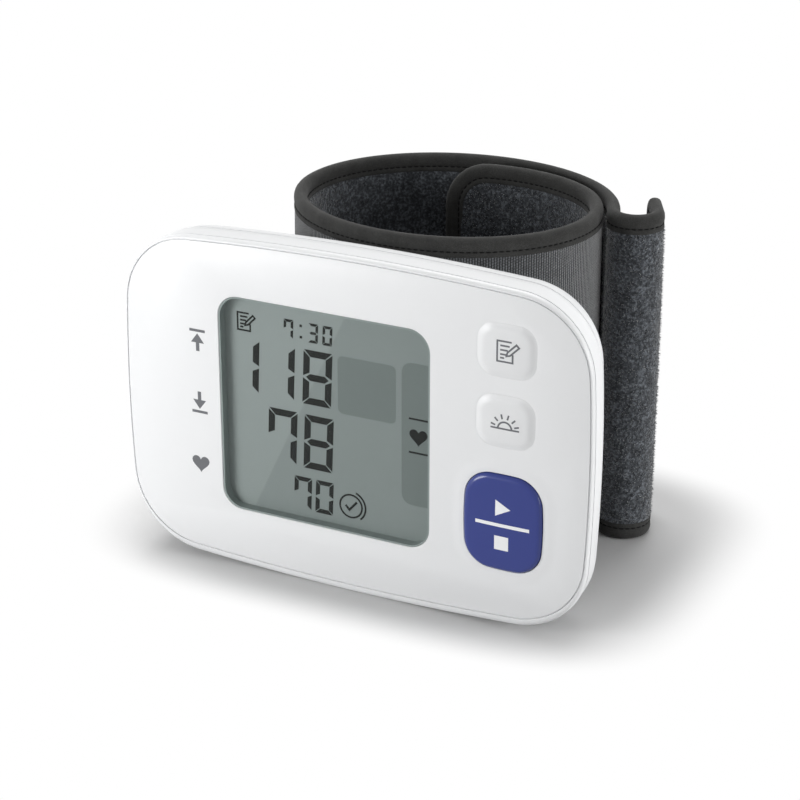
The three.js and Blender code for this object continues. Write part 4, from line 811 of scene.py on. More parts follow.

# %% [markdown]
# ## Marks on the display and the cover
# A mark is a thin plate: flat polygons in x and z, given a front just proud of what carries them.
# The digits have seven bars with mitred ends and lean a little, as on a common display. Strokes get
# extra points, so that a mark on a key can follow its dome. A picture could show all this too, but
# plates stay sharp from near and are part of the mesh.

# %% Flat marks
MARK_ROOT = 0.03


def bar_between(start, end, width):
    """A straight bar as a four-cornered polygon."""
    a, b = np.array(start, float), np.array(end, float)
    side = np.array([a[1] - b[1], b[0] - a[0]]) / np.linalg.norm(b - a) * width / 2
    return [a + side, b + side, b - side, a - side]


def finer(points, closed, step=0.5):
    """The corners of a line with more points between them."""
    ends = np.roll(points, -1, 0) if closed else points[1:]
    runs = [np.linspace(a, b, max(1, int(np.linalg.norm(b - a) / step)), endpoint=False)
            for a, b in zip(points, ends)]
    return np.concatenate(runs if closed else runs + [points[-1:]])


def stroke(points, width, closed=False):
    """A line of even width as a mitred band of four-cornered polygons."""
    points = finer(np.array(points, float), closed)
    before, after = np.roll(points, 1, 0), np.roll(points, -1, 0)
    if not closed:
        before[0], after[-1] = 2 * points[0] - points[1], 2 * points[-1] - points[-2]
    into = (points - before) / np.linalg.norm(points - before, axis=1, keepdims=True)
    leave = (after - points) / np.linalg.norm(after - points, axis=1, keepdims=True)
    mitre = into + leave
    mitre = np.stack([-mitre[:, 1], mitre[:, 0]], -1) / np.linalg.norm(mitre, axis=1, keepdims=True)
    square = np.maximum(0.5, mitre[:, 1] * into[:, 0] - mitre[:, 0] * into[:, 1])
    reach = width / 2 / square[:, None]
    left, right = points + mitre * reach, points - mitre * reach
    pairs = [(i, (i + 1) % len(points)) for i in range(len(points) if closed else len(points) - 1)]
    return [[left[i], left[j], right[j], right[i]] for i, j in pairs]


def arc(x, z, radius, start, end, steps=24):
    angle = np.radians(np.linspace(start, end, steps))
    return [(x + radius * math.cos(a), z + radius * math.sin(a)) for a in angle]


def marks(name, polygons, surface, lift, material, body):
    """Thin plates that stand proud of a surface, given as the depth at a point (x, z)."""
    points, faces = [], []
    for polygon in polygons:
        first, count = len(points), len(polygon)
        for level in (-lift, MARK_ROOT):
            points += [(x * MM, FACE_Y + (surface(x, z) + level) * MM, z * MM) for x, z in polygon]
        faces += [tuple(range(first, first + count)), tuple(range(first + count, first + 2 * count))]
        faces += grid_faces(2, count, first, closed=True)
    return dressed(mesh_object(name, points, faces), material, body)


print("points of a finer line", len(finer(np.array([(0.0, 0.0), (2.0, 0.0)]), False)))

# %% Display digits
SEGMENTS = {"0": "abcdef", "1": "bc", "3": "abcdg", "7": "abcf", "8": "abcdefg"}
LEAN = math.tan(math.radians(2.5))
BAR_GAP, BAR_CUT, BAR_TIP, BAR_POINT = 0.08, 0.14, 0.6, 0.4
READINGS = [("118", 34.1, 5.7, 10.3, 1.28, (-24.75, -17.6, -10.2)),
            ("78", 21.7, 5.8, 10.4, 1.28, (-17.45, -10.2)),
            ("70", 13.4, 3.55, 6.4, 0.84, (-12.3, -7.95)),
            ("730", 45.8, 1.9, 3.6, 0.5, (-13.75, -8.85, -6.05))]
COLON_X, COLON_LEVELS, COLON_SIZE = -10.25, (46.5, 48.6), 0.48
DIGIT_LIFT = 0.02


def digit(character, x, z, width, height, t):
    """The bars, t thick, of one seven-bar digit whose lower left corner is at (x, z)."""
    half, gap, tip = height / 2, t * BAR_GAP, t * BAR_TIP

    def level(at, inward):
        return [(gap, at), (width - gap, at), (width - gap - t, at + inward * t), (gap + t, at + inward * t)]

    def upright(at, inward, low, high, low_cut, high_cut):
        return [(at, low + low_cut * BAR_CUT), (at, high - high_cut * BAR_CUT),
                (at + inward * t, high - high_cut), (at + inward * t, low + low_cut)]

    bars = {
        "a": level(height, -1), "d": level(0, 1),
        "g": [(gap + t * BAR_POINT, half), (t + gap, half + t / 2), (width - t - gap, half + t / 2),
              (width - gap - t * BAR_POINT, half), (width - t - gap, half - t / 2), (t + gap, half - t / 2)],
        "b": upright(width, -1, half + gap, height - gap, tip, t),
        "c": upright(width, -1, gap, half - gap, t, tip),
        "f": upright(0, 1, half + gap, height - gap, tip, t),
        "e": upright(0, 1, gap, half - gap, t, tip),
    }
    return [[(x + px + pz * LEAN, z + pz) for px, pz in bars[s]] for s in SEGMENTS[character]]


def on_panel(x, z):
    return PANEL_FRONT


digits = [bar_between((COLON_X, z - COLON_SIZE / 2), (COLON_X, z + COLON_SIZE / 2), COLON_SIZE)
          for z in COLON_LEVELS]
for text, z, width, height, thick, places in READINGS:
    for character, x in zip(text, places):
        digits += digit(character, x, z, width, height, thick)
marks("display_digits", digits, on_panel, DIGIT_LIFT, LCD_INK, "root")
print("display bars", len(digits))

# %% [markdown]
# The other signs are plain pictograms: a note with a pen for the memory, a rising sun for the
# morning key, a heart, arrows for the upper and lower reading, and a triangle and a square for
# start and stop. Each is a small function of its place and size, because some come back elsewhere.

# %% Sign shapes
HORIZON_HALF, SUN_RADIUS = 2.6, 1.25
RAY_ENDS, RAY_ANGLES = (1.8, 2.65), (16, 45, 75, 105, 135, 164)


def memo_sign(x, z, size, width):
    """A note with lines on it and a pen across its corner."""
    def at(u, v):
        return (x + u * size, z + v * size)
    page = [at(0.66, 0.93), at(0.02, 0.93), at(0.02, 0.03), at(0.72, 0.03), at(0.72, 0.4)]
    pen = [at(0.44, 0.3), at(0.49, 0.47), at(0.88, 0.86), at(1.0, 0.74), at(0.61, 0.35)]
    polygons = stroke(page, width) + stroke(pen, width, closed=True)
    for v, end in ((0.74, 0.58), (0.55, 0.5), (0.36, 0.42), (0.2, 0.34)):
        polygons += stroke([at(0.16, v), at(end, v)], width)
    return polygons


def heart_sign(x, z, size):
    """A filled heart as its two halves."""
    t = np.linspace(0, math.pi, 15)
    level = 13 * np.cos(t) - 5 * np.cos(2 * t) - 2 * np.cos(3 * t) - np.cos(4 * t)
    edge = np.stack([16 * np.sin(t) ** 3, level], -1) * size / 32
    return [[(x + side * u, z + v) for u, v in edge] for side in (1, -1)]


def arrow_sign(x, z, size, up):
    """An arrow with a bar at its tip."""
    s = 1 if up else -1
    tip = z + s * size * 0.72
    return [[(x - size * 0.42, z), (x + size * 0.42, z), (x, z + s * size * 0.55)],
            bar_between((x, z - s * size * 0.5), (x, z), size * 0.22),
            bar_between((x - size * 0.5, tip), (x + size * 0.5, tip), size * 0.16)]


def sun_sign(x, z, width):
    """Half a sun with six rays over a level line."""
    polygons = stroke([(x - HORIZON_HALF, z), (x + HORIZON_HALF, z)], width)
    polygons += stroke(arc(x, z, SUN_RADIUS, 0, 180, 16), width)
    for angle in RAY_ANGLES:
        polygons += stroke([arc(x, z, r, angle, angle, 1)[0] for r in RAY_ENDS], width)
    return polygons


print("strokes of the note", len(memo_sign(0, 0, 1, 0.1)))

# %% Signs on the display
NOTE_LINE, FINE_LINE, TICK_LINE = 0.32, 0.34, 0.42
NOTE_X, NOTE_Z, NOTE_SIZE = -23.0, 45.7, 3.6
RING_X, RING_Z, RING_RADIUS, ARC_RADIUS = -0.7, 16.1, 2.2, 2.9
TICK = [(-1.08, 0.07), (-0.33, -0.78), (1.17, 0.97)]
HEART_X, HEART_Z, HEART_SIZE = 12.55, 32.1, 3.5
HEART_BAR_ENDS, HEART_BAR_LEVELS = (10.7, 15.6), (35.3, 29.0)
SHADE_BOX, SHADE_BOX_MIDDLE = (11.3, 10.8, 1.0), (2.55, 39.0)
SHADE_RIGHT, SHADE_LOW, SHADE_HIGH = 15.9, 18.9, 45.6
BEND_X, BEND_RADIUS = 11.3, 2.0
DISPLAY_SIGN_LIFT, SHADE_LIFT = 0.03, 0.01

display_signs = memo_sign(NOTE_X, NOTE_Z, NOTE_SIZE, NOTE_LINE)
display_signs += stroke(arc(RING_X, RING_Z, RING_RADIUS, 0, 345), FINE_LINE, closed=True)
display_signs += stroke(arc(RING_X, RING_Z, ARC_RADIUS, -50, 70), FINE_LINE)
display_signs += stroke([(RING_X + u, RING_Z + v) for u, v in TICK], TICK_LINE)
display_signs += heart_sign(HEART_X, HEART_Z, HEART_SIZE)
for z in HEART_BAR_LEVELS:
    display_signs.append(bar_between(*[(x, z) for x in HEART_BAR_ENDS], FINE_LINE))
marks("display_signs", display_signs, on_panel, DISPLAY_SIGN_LIFT, LCD_INK, "root")
shade_box = rounded_rectangle(*SHADE_BOX, 6) + np.array(SHADE_BOX_MIDDLE)
shade_bar = [(SHADE_RIGHT, SHADE_LOW), (SHADE_RIGHT, SHADE_HIGH)]
shade_bar += arc(BEND_X, SHADE_HIGH - BEND_RADIUS, BEND_RADIUS, 90, 180, 8)
shade_bar += arc(BEND_X, SHADE_LOW + BEND_RADIUS, BEND_RADIUS, 180, 270, 8)
marks("display_shades", [shade_box, shade_bar], on_panel, SHADE_LIFT, LCD_SHADE, "root")
print("display signs", len(display_signs))

# %% Signs on the cover and the keys
SIGN_LINE, KEY_SIGN_LIFT, COVER_SIGN_LIFT = 0.3, 0.03, 0.015
ARROW_X, UPPER_Z, LOWER_Z, ARROW_SIZE = -30.2, 42.6, 31.6, 3.2
COVER_HEART = (-30.4, 19.2, 3.6)
KEY_NOTE, KEY_SUN = (28.1, 49.9, 4.0), (29.8, 38.0)
PLAY_SIGN = [(28.5, 21.9), (31.3, 23.4), (28.5, 24.9)]
STOP_SIGN = [(28.4, 15.6), (31.0, 15.6), (31.0, 18.2), (28.4, 18.2)]
DIVIDER, DIVIDER_WIDTH = [(24.8, 20.25), (34.8, 20.25)], 0.62
KEY_SIGNS = {
    "memory": memo_sign(*KEY_NOTE, SIGN_LINE),
    "morning": sun_sign(*KEY_SUN, SIGN_LINE),
    "start_stop": [PLAY_SIGN, STOP_SIGN] + stroke(DIVIDER, DIVIDER_WIDTH),
}

cover_signs = arrow_sign(ARROW_X, UPPER_Z, ARROW_SIZE, True)
cover_signs += arrow_sign(ARROW_X, LOWER_Z, ARROW_SIZE, False) + heart_sign(*COVER_HEART)
marks("cover_signs", cover_signs, lambda x, z: 0.0, COVER_SIGN_LIFT, PRINT_GREY, "root")
for key, polygons in KEY_SIGNS.items():
    _, slot, ink = KEY_FINISHES[key]
    marks(f"{key}_signs", polygons, lambda x, z: cap_depth(x, z, key), KEY_SIGN_LIFT, ink, f"{key}_key")
print("cover and key signs", len(cover_signs) + sum(len(polygons) for polygons in KEY_SIGNS.values()))

# %% [markdown]
# ## Cuff path
# The cuff is one long band. Seen from above it starts at the back, goes round the right side, the
# front and the left side, passes outside its own beginning and ends in a hooked tail. A curve drawn
# by hand could show this too, but in a formula the pitch of the turns is one value. Every layer
# follows this path, so it is a function of the length along the band.

# %% Cuff path
TAPE_SWELL, LAYER_GAP = 0.24, 0.6
LAYER_PITCH = BAND + TAPE_SWELL + LAYER_GAP
START_TURN, HINGE_TURN, PEEL_TURN, LEAVE_TURN = -24, 248, 388, 436
HOOK_RADIUS, HOOK_SWEEP, TAIL_STRAIGHT = 4.0, 189, 9.5
INNER_END_LEAN, LEAN_TURN = 3.6, 60
CUFF_HEIGHT = 63.6


def band_path():
    """Points of the path in plan, in millimetres behind the face, with the length along it."""
    turn = np.arange(START_TURN, LEAVE_TURN + 0.25, 0.5)
    lean = np.clip((LEAN_TURN - turn) / (LEAN_TURN - START_TURN), 0, 1) ** 1.5
    growth = LAYER_PITCH * (turn - 180) / 360 - INNER_END_LEAN * lean
    angle = np.radians(turn)
    spiral = np.stack([LOOP_X + (LOOP_HALF_WIDTH + growth) * np.sin(angle),
                       LOOP_Y + (LOOP_HALF_DEPTH + growth) * np.cos(angle)], -1)
    heading = math.atan2(*(spiral[-1] - spiral[-2])[::-1])
    centre = spiral[-1] + HOOK_RADIUS * np.array([-math.sin(heading), math.cos(heading)])
    sweep = heading - math.pi / 2 + np.radians(np.linspace(0, HOOK_SWEEP, 48)[1:])
    hook = centre + HOOK_RADIUS * np.stack([np.cos(sweep), np.sin(sweep)], -1)
    out = heading + math.radians(HOOK_SWEEP)
    steps = np.linspace(0, TAIL_STRAIGHT, 13)[1:, None]
    straight = hook[-1] + steps * np.array([math.cos(out), math.sin(out)])
    points = np.concatenate([spiral, hook, straight])
    length = np.concatenate([[0], np.cumsum(np.linalg.norm(np.diff(points, axis=0), axis=1))])
    return points, length, turn


PATH, PATH_LENGTH, SPIRAL_TURN = band_path()
PATH_ALONG = np.gradient(PATH, PATH_LENGTH, axis=0)
BAND_END = float(PATH_LENGTH[-1])


def at_turn(turn):
    return float(np.interp(turn, SPIRAL_TURN, PATH_LENGTH[:len(SPIRAL_TURN)]))


def band_at(length):
    """Place, direction and outward side of the band at lengths along it."""
    place, along = [np.stack([np.interp(length, PATH_LENGTH, values[:, i]) for i in (0, 1)], -1)
                    for values in (PATH, PATH_ALONG)]
    along /= np.linalg.norm(along, axis=-1, keepdims=True)
    return place, along, np.stack([-along[..., 1], along[..., 0]], -1)


def in_room(flat, level):
    """Plan points in millimetres behind the face and heights, as points in metres."""
    points = np.concatenate([flat, level[..., None]], -1) * MM
    points[..., 1] += FACE_Y
    return points


print("band length", round(BAND_END, 1), "mm")

# %% [markdown]
# ## Fabric finishes
# The outer cloth is a knit with fine upright ribs, the lining is a brushed pile, and the edge is a
# woven tape. All three share one group that mixes fine and broad noise, as yarn is never even.
# The ribs follow the cloth's own map, which is its length and height in metres. On Object
# coordinates they would grow wider where the band turns away.

# %% Yarn group
def make_uneven_yarn():
    sizes = {"Fine Scale": 2500.0, "Broad Scale": 300.0, "Broad Share": 0.4}
    tree, given, out = named_tree("ShaderNodeTree", "uneven yarn", sizes, {"Shade": 0.0})
    place = object_place(tree)
    fine, broad = [
        add_node(tree, "ShaderNodeTexNoise", Vector=place, Scale=given[scale], Detail=detail, Roughness=0.6)
        for scale, detail in (("Fine Scale", 3.0), ("Broad Scale", 2.0))]
    difference = calculate(tree, "SUBTRACT", broad.outputs["Fac"], fine.outputs["Fac"])
    mixed = calculate(tree, "MULTIPLY_ADD", difference, given["Broad Share"], fine.outputs["Fac"])
    connect(tree, out, Shade=mixed)
    return tree


UNEVEN_YARN = make_uneven_yarn()


def yarn(tree, fine_mm, broad_mm, share):
    """The uneven yarn's shade, with patches of two sizes, as a socket."""
    node = add_node(tree, "ShaderNodeGroup", node_tree=UNEVEN_YARN, Fine_Scale=1 / (fine_mm * MM),
                    Broad_Scale=1 / (broad_mm * MM), Broad_Share=share)
    return node.outputs["Shade"]


print("yarn group", UNEVEN_YARN.name, "with", len(UNEVEN_YARN.nodes), "nodes")

# %% Knit
RIB_WIDTH, COURSE_HEIGHT = 0.46, 0.5
COURSE_SHIFT = 2.4
LOOP_SWING, LOOP_LEVEL = 0.14, 0.8
YARN_SWING, YARN_LEVEL = 1.6, 0.2
KNIT_DEPTH, KNIT_STRENGTH = 0.22, 0.9
KNIT_TONE_AND_SHADE_STOPS = [(0.1, "#1f2021"), (0.5, "#404244"), (1.0, "#707276")]


def cuff_knit():
    material, tree, shader = finish_material(
        "cuff knit", "#5f6165", 0.85, Specular_IOR_Level=0.2, Sheen_Weight=1.0, Sheen_Roughness=0.4)
    chart = axes(tree, add_node(tree, "ShaderNodeUVMap", uv_map="cloth").outputs["UV"])
    across = calculate(tree, "MULTIPLY", chart["X"], math.pi / (RIB_WIDTH * MM))
    rib = calculate(tree, "ABSOLUTE", calculate(tree, "SINE", across))
    number = calculate(tree, "FLOOR", calculate(tree, "DIVIDE", across, math.pi))
    shift = calculate(tree, "MULTIPLY", number, COURSE_SHIFT)
    course = calculate(tree, "MULTIPLY_ADD", chart["Y"], 2 * math.pi / (COURSE_HEIGHT * MM), shift)
    loop = calculate(tree, "MULTIPLY_ADD", calculate(tree, "SINE", course), LOOP_SWING, LOOP_LEVEL)
    uneven = calculate(tree, "MULTIPLY_ADD", yarn(tree, 0.3, 1.6, 0.3), YARN_SWING, YARN_LEVEL)
    height = calculate(tree, "MULTIPLY", calculate(tree, "MULTIPLY", rib, loop), uneven)
    bump_from(tree, shader, height, KNIT_DEPTH, KNIT_STRENGTH)
    # The colour follows the same height as the bump: the valleys between ribs and loops are darker as painted
    # shade, and the yarn's unevenness is its own tone.
    connect(tree, shader, Base_Color=ramp(tree, height, KNIT_TONE_AND_SHADE_STOPS))
    return material


CUFF_KNIT = cuff_knit()
print("knit with ribs of", RIB_WIDTH, "mm")

# %% Pile, tape, thread and hook tape
FABRIC_ROUGHNESS = 0.92


def fuzzy(name, fine_mm, broad_mm, share, stops, depth_mm, **settings):
    """A fabric whose colour and bump both follow the uneven yarn."""
    material, tree, shader = finish_material(
        name, stops[1][1], FABRIC_ROUGHNESS, Specular_IOR_Level=0.15, **settings)
    shade = yarn(tree, fine_mm, broad_mm, share)
    connect(tree, shader, Base_Color=ramp(tree, shade, stops))
    bump_from(tree, shader, shade, depth_mm)
    return material


FLUFF = {"Sheen_Weight": 1.0, "Sheen_Roughness": 0.35}
CUFF_PILE = fuzzy("cuff pile", 0.5, 1.6, 0.3, [(0.36, "#2a2c2f"), (0.5, "#46494d"), (0.64, "#757a80")], 0.5,
                  **FLUFF)
CUFF_TAPE = fuzzy("cuff tape", 0.16, 2.5, 0.3, [(0.3, "#2a2a29"), (0.5, "#383837"), (0.7, "#474746")], 0.05,
                  Sheen_Weight=0.12, Sheen_Roughness=0.4)
CUFF_THREAD = fuzzy("cuff thread", 0.1, 1.0, 0.2, [(0.3, "#0e0e0e"), (0.5, "#161616"), (0.7, "#202020")],
                    0.03)
HOOK_TAPE = fuzzy("hook tape", 0.4, 0.9, 0.2, [(0.3, "#17181a"), (0.5, "#26282b"), (0.7, "#3c3f43")], 0.3)
PILE_FIBRE = fuzzy("pile fibre", 0.6, 1.8, 0.4, [(0.3, "#3a3d40"), (0.5, "#55595e"), (0.7, "#80858b")], 0.02,
                   **FLUFF)
print("all finishes", len(bpy.data.materials))

# %% [markdown]
# ## Cuff cloth
# The cuff swings open at the left side, and the tail peels off at the back. The band is cut into five
# lengths: three that ride on one body, and two short ones across the joints that stay where they
# are built. A cloth simulation could drape it, but a stretched band hardly sags. So each layer is a
# closed strip with round corners at the free ends, and the outer ones are slightly swollen between
# their edges.

# %% Cuff lengths
HINGE_HALF, PEEL_HALF = 24, 12
INNER_END_CORNER, TAIL_END_CORNER = 8.0, 4.0
LENGTH_CUTS = [0.0, at_turn(HINGE_TURN - HINGE_HALF), at_turn(HINGE_TURN + HINGE_HALF),
               at_turn(PEEL_TURN - PEEL_HALF), at_turn(PEEL_TURN + PEEL_HALF), BAND_END]
LENGTH_BODIES = {"base": ["root"], "hinge": ["root", "cuff_wrap"], "wrap": ["cuff_wrap"],
                 "peel": ["cuff_wrap", "cuff_tail"], "tail": ["cuff_tail"]}
CUFF_LENGTHS = {name: (LENGTH_CUTS[i], LENGTH_CUTS[i + 1]) for i, name in enumerate(LENGTH_BODIES)}
BLEND_SHARE = 0.86


def settle(made, name):
    """Rides a length of the cuff on its body; a length between two bodies only gets its transform baked."""
    bodies = LENGTH_BODIES[name]
    if len(bodies) == 1:
        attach(made, bodies[0])
        return
    place, _, _ = band_at(np.array(CUFF_LENGTHS[name]))
    middle, half = place.mean(axis=0), (place[1] - place[0]) / 2
    start, end = [tuple(in_room(middle + half * s * BLEND_SHARE, np.array(0.0))) for s in (-1, 1)]
    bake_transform(made)


print("lengths end at", [round(cut, 1) for cut in LENGTH_CUTS[1:]], "mm")

# %% Strips of the band
def end_cut(length, margin):
    """How far the round end corners cut into the height of a strip at lengths along the band."""
    cut = np.zeros_like(length)
    for inside, corner in ((length, INNER_END_CORNER), (BAND_END - length, TAIL_END_CORNER)):
        radius = corner - margin
        near = np.clip(radius - (inside - margin), 0, radius)
        cut = np.maximum(cut, radius - np.sqrt(radius ** 2 - near ** 2))
    return cut


def strip_grid(start, end, offset, margin, pillow=0.0, step=1.0, rows=26):
    """A grid of points over a length of the band at an offset, and its lengths and heights."""
    start, end = max(start, margin), min(end, BAND_END - margin)
    length = np.linspace(start, end, max(2, int(round((end - start) / step)) + 1))
    place, _, out = band_at(length)
    cut = end_cut(length, margin)
    share = np.linspace(0, 1, rows)
    level = margin + cut[:, None] + share * (CUFF_HEIGHT - 2 * margin - 2 * cut[:, None])
    reach = offset + pillow * np.sign(offset) * np.sin(math.pi * share).clip(0) ** 0.6
    flat = place[:, None, :] + out[:, None, :] * reach[None, :, None]
    return in_room(flat, level), length, level


def band_strip(name, start, end, outer, inner, margin, pillow):
    """A closed strip between two offsets, with its length and height as a map in metres."""
    (front, length, level), (back, _, _) = [strip_grid(start, end, offset, margin, pillow)
                                            for offset in (outer, inner)]
    many, rows = front.shape[:2]
    count = many * rows
    border = [i * rows for i in range(many)] + [count - rows + j for j in range(1, rows)]
    border += [i * rows + rows - 1 for i in reversed(range(many - 1))] + list(reversed(range(1, rows - 1)))
    walls = [(a, b, count + b, count + a) for a, b in zip(border, border[1:] + border[:1])]
    made = mesh_object(name, np.concatenate([front.reshape(-1, 3), back.reshape(-1, 3)]),
                       grid_faces(many, rows) + grid_faces(many, rows, count) + walls)
    chart = np.stack([np.repeat(length, rows), level.ravel()], -1) * MM
    corners = np.array([loop.vertex_index for loop in made.data.loops]) % count
    made.data.uv_layers.new(name="cloth").data.foreach_set("uv", chart[corners].ravel())
    return made


print("cut of the tail's corner", round(float(end_cut(np.array([BAND_END]), 0.0)[0]), 2), "mm")

# %% Cuff layers
HALF = BAND / 2
UNDER_TAPE = 2.9
SWELL = 0.14
FABRIC, CORE_INSET = 0.45, 0.57
LAYERS = {"cloth": (HALF, HALF - FABRIC, CUFF_KNIT, "cuff_cloth", SWELL),
          "core": (HALF - CORE_INSET, -HALF + CORE_INSET, BLADDER_FILM, "bladder", 0),
          "lining": (-HALF + FABRIC, -HALF, CUFF_PILE, "cuff_lining", SWELL)}
STANDS_FOR = {
    "cuff_base_cloth": ["cuff_cloth"], "cuff_base_core": ["curler_plate", "air_bladder"],
    "cuff_base_lining": ["cuff_lining"], "cuff_base_tape": ["cuff_binding"],
    "cuff_wrap_tape": ["wrap_binding_top", "wrap_binding_bottom"], "cuff_tail_tape": ["tail_binding"],
    **{f"cuff_{length}_{layer}": [f"{length}_{layer}"] for length in ("wrap", "tail") for layer in LAYERS},
}


def sewn_in(made, finish, length_name, sharp):
    """Dresses a piece of the cuff, and attaches it to the body of its length where that length has only one.
    """
    dressed(made, finish, None, STANDS_FOR.get(made.name, ()), sharp)
    settle(made, length_name)
    return made


for length_name, (start, end) in CUFF_LENGTHS.items():
    for layer_name, (outer, inner, finish, slot, swell) in LAYERS.items():
        strip = band_strip(f"cuff_{length_name}_{layer_name}", start, end, outer, inner, UNDER_TAPE, swell)
        sewn_in(strip, finish, length_name, sharp=50)

# %% [markdown]
# ## Edge tape
# A tape is folded over the edge of the band and sewn down, so it is puffy outside the seam and has
# a thin flange inside it. A curve with a bevel profile could sweep its section along the edge. Here
# each point is worked out from the band's path, so the tape stays on the edge where the band bends,
# and round the corners of both free ends.

# %% Edge lines
TAPE_MIDDLE = 1.65
EDGE_STEP = 0.9
WELL_INSIDE = 20


def steps_between(a, b):
    return np.linspace(a, b, max(2, int(round(abs(b - a) / EDGE_STEP)) + 1))


def edge_lines(start, end):
    """Lines of (length, height) along the middle of the tape, round a free end where there is one."""
    low, high = TAPE_MIDDLE, CUFF_HEIGHT - TAPE_MIDDLE
    if start > 0 and end < BAND_END:
        return [[(s, z) for s in steps_between(start, end)] for z in (high, low)]
    corner, sign, free, joined = INNER_END_CORNER, -1, INNER_END_CORNER, end
    if end >= BAND_END:
        corner, sign, free, joined = TAIL_END_CORNER, 1, BAND_END - TAIL_END_CORNER, start
    radius = corner - TAPE_MIDDLE
    bend = [(free + sign * radius * math.sin(a), high - radius * (1 - math.cos(a)))
            for a in np.linspace(0, math.pi / 2, 12)]
    mirrored = [(s, CUFF_HEIGHT - z) for s, z in reversed(bend)]
    upright = [(bend[-1][0], z) for z in steps_between(bend[-1][1], mirrored[0][1])[1:-1]]
    top = [(s, high) for s in steps_between(joined, free)][:-1]
    return [top + bend + upright + mirrored + [(s, low) for s, _ in reversed(top)]]


def edge_points(line, across, depth):
    """Points at an offset across the band and a depth from its outer edge, along an edge line."""
    line = np.array(line)
    run = np.gradient(line, axis=0)
    run /= np.linalg.norm(run, axis=1, keepdims=True)
    inward = np.stack([-run[:, 1], run[:, 0]], -1)
    inside = np.clip(line[:, 0], WELL_INSIDE, BAND_END - WELL_INSIDE)
    middle = np.stack([inside, np.full(len(line), CUFF_HEIGHT / 2)], -1)
    inward *= np.sign(np.sum(inward * (middle - line), axis=1, keepdims=True))
    place, along, out = band_at(line[:, 0])
    reach = depth - TAPE_MIDDLE
    flat = place + out * across + along * (inward[:, :1] * reach)
    return in_room(flat, line[:, 1] + inward[:, 1] * reach)


print("points round the tail's edge", len(edge_lines(*CUFF_LENGTHS["tail"])[0]))

# %% Edge tape
TAPE_SECTION = [
    (0.0, 0.0), (0.45, 0.06), (0.80, 0.24), (1.05, 0.55), (1.18, 0.95), (1.22, 1.40), (1.19, 1.85),
    (1.12, 2.15), (1.03, 2.34), (1.02, 2.46), (1.10, 2.58), (1.20, 2.80), (1.21, 3.10), (1.17, 3.36),
    (1.02, 3.44),
]


def tape(name, lines):
    """The tape's section, drawn as (across, depth), swept along edge lines."""
    section = TAPE_SECTION + [(-a, d) for a, d in reversed(TAPE_SECTION[1:])]
    points, faces, count, first = [], [], len(section), 0
    for line in lines:
        points.append(np.stack([edge_points(line, a, d) for a, d in section], 1).reshape(-1, 3))
        last = first + (len(line) - 1) * count
        faces += grid_faces(len(line), count, first, closed=True)
        faces += [tuple(range(first, first + count)), tuple(range(last, last + count))]
        first = last + count
    return mesh_object(name, np.concatenate(points), faces)


for length_name, ends in CUFF_LENGTHS.items():
    edging = tape(f"cuff_{length_name}_tape", edge_lines(*ends))
    sewn_in(edging, CUFF_TAPE, length_name, sharp=60)
print("tape lengths", len(CUFF_LENGTHS))

# %% [markdown]
# ## Stitches
# The seam is a row of short dark stitches in the valley of the tape, on both sides of the band.
# A Geometry Nodes tree turns the valley lines into curves, steps along them, and lays one small
# bead at each step in the direction of the line. A bump could draw the seam too, but beads keep
# their shape in the mesh.

# %% Stitches
SEAM_ACROSS, SEAM_DEPTH = 1.05, 2.40
STITCH_SIZES = {"Pitch": 1.15 * MM, "Stitch Length": 0.9 * MM, "Thread Width": 0.3 * MM}


def stitch_tree():
    tree, given, out = shape_tree("seam stitches", STITCH_SIZES)
    curve = add_node(tree, "GeometryNodeMeshToCurve", Mesh=given["Geometry"])
    steps = add_node(tree, "GeometryNodeCurveToPoints", mode="LENGTH", Curve=curve.outputs[0],
                     Length=given["Pitch"])
    bead = add_node(tree, "GeometryNodeMeshUVSphere", Segments=6, Rings=5, Radius=0.5)
    size = add_node(tree, "ShaderNodeCombineXYZ", X=given["Thread Width"], Y=given["Thread Width"],
                    Z=given["Stitch Length"])
    lying = add_node(tree, "FunctionNodeAlignRotationToVector", axis="Z", Vector=steps.outputs["Tangent"])
    copies = add_node(tree, "GeometryNodeInstanceOnPoints", Points=steps.outputs["Points"],
                      Instance=bead.outputs["Mesh"], Rotation=lying.outputs[0], Scale=size.outputs[0])
    finish_tree(tree, copies, out, CUFF_THREAD)
    return tree


def line_object(name, lines):
    """A mesh of bare edges along several lines of points."""
    points, edges = [], []
    for line in lines:
        edges += [(len(points) + i, len(points) + i + 1) for i in range(len(line) - 1)]
        points += list(line)
    return plain_object(name, points, edges, [])


SEAM_STITCHES = stitch_tree()
stitch_faces = 0
for length_name, ends in CUFF_LENGTHS.items():
    seams = [edge_points(line, side * SEAM_ACROSS, SEAM_DEPTH)
             for line in edge_lines(*ends) for side in (1, -1)]
    sewn = grown(line_object(f"cuff_{length_name}_stitches", seams), SEAM_STITCHES, STITCH_SIZES)
    sewn_in(sewn, CUFF_THREAD, length_name, sharp=80)
    stitch_faces += len(sewn.data.polygons)
print("stitch faces", stitch_faces)

# %% [markdown]
# ## Brushed pile
# The lining is brushed, so its surface is a thin fur of short fibres. Geometry Nodes scatter small
# three-sided spikes over four of the five lengths, with a fixed seed, and lean them at random. Hair
# would look much the same, but it isn't a mesh and wouldn't be exported.

# %% Brushed pile
PILE_SIZES = {"Density": 3.2 / (MM * MM), "Fibre Length": 0.5 * MM, "Fibre Radius": 0.07 * MM}
PILE_LENGTHS = ["base", "hinge", "peel", "tail"]
PILE_MARGIN = 0.5
MOST_LEAN = (0.9, 0.9, 3.1)


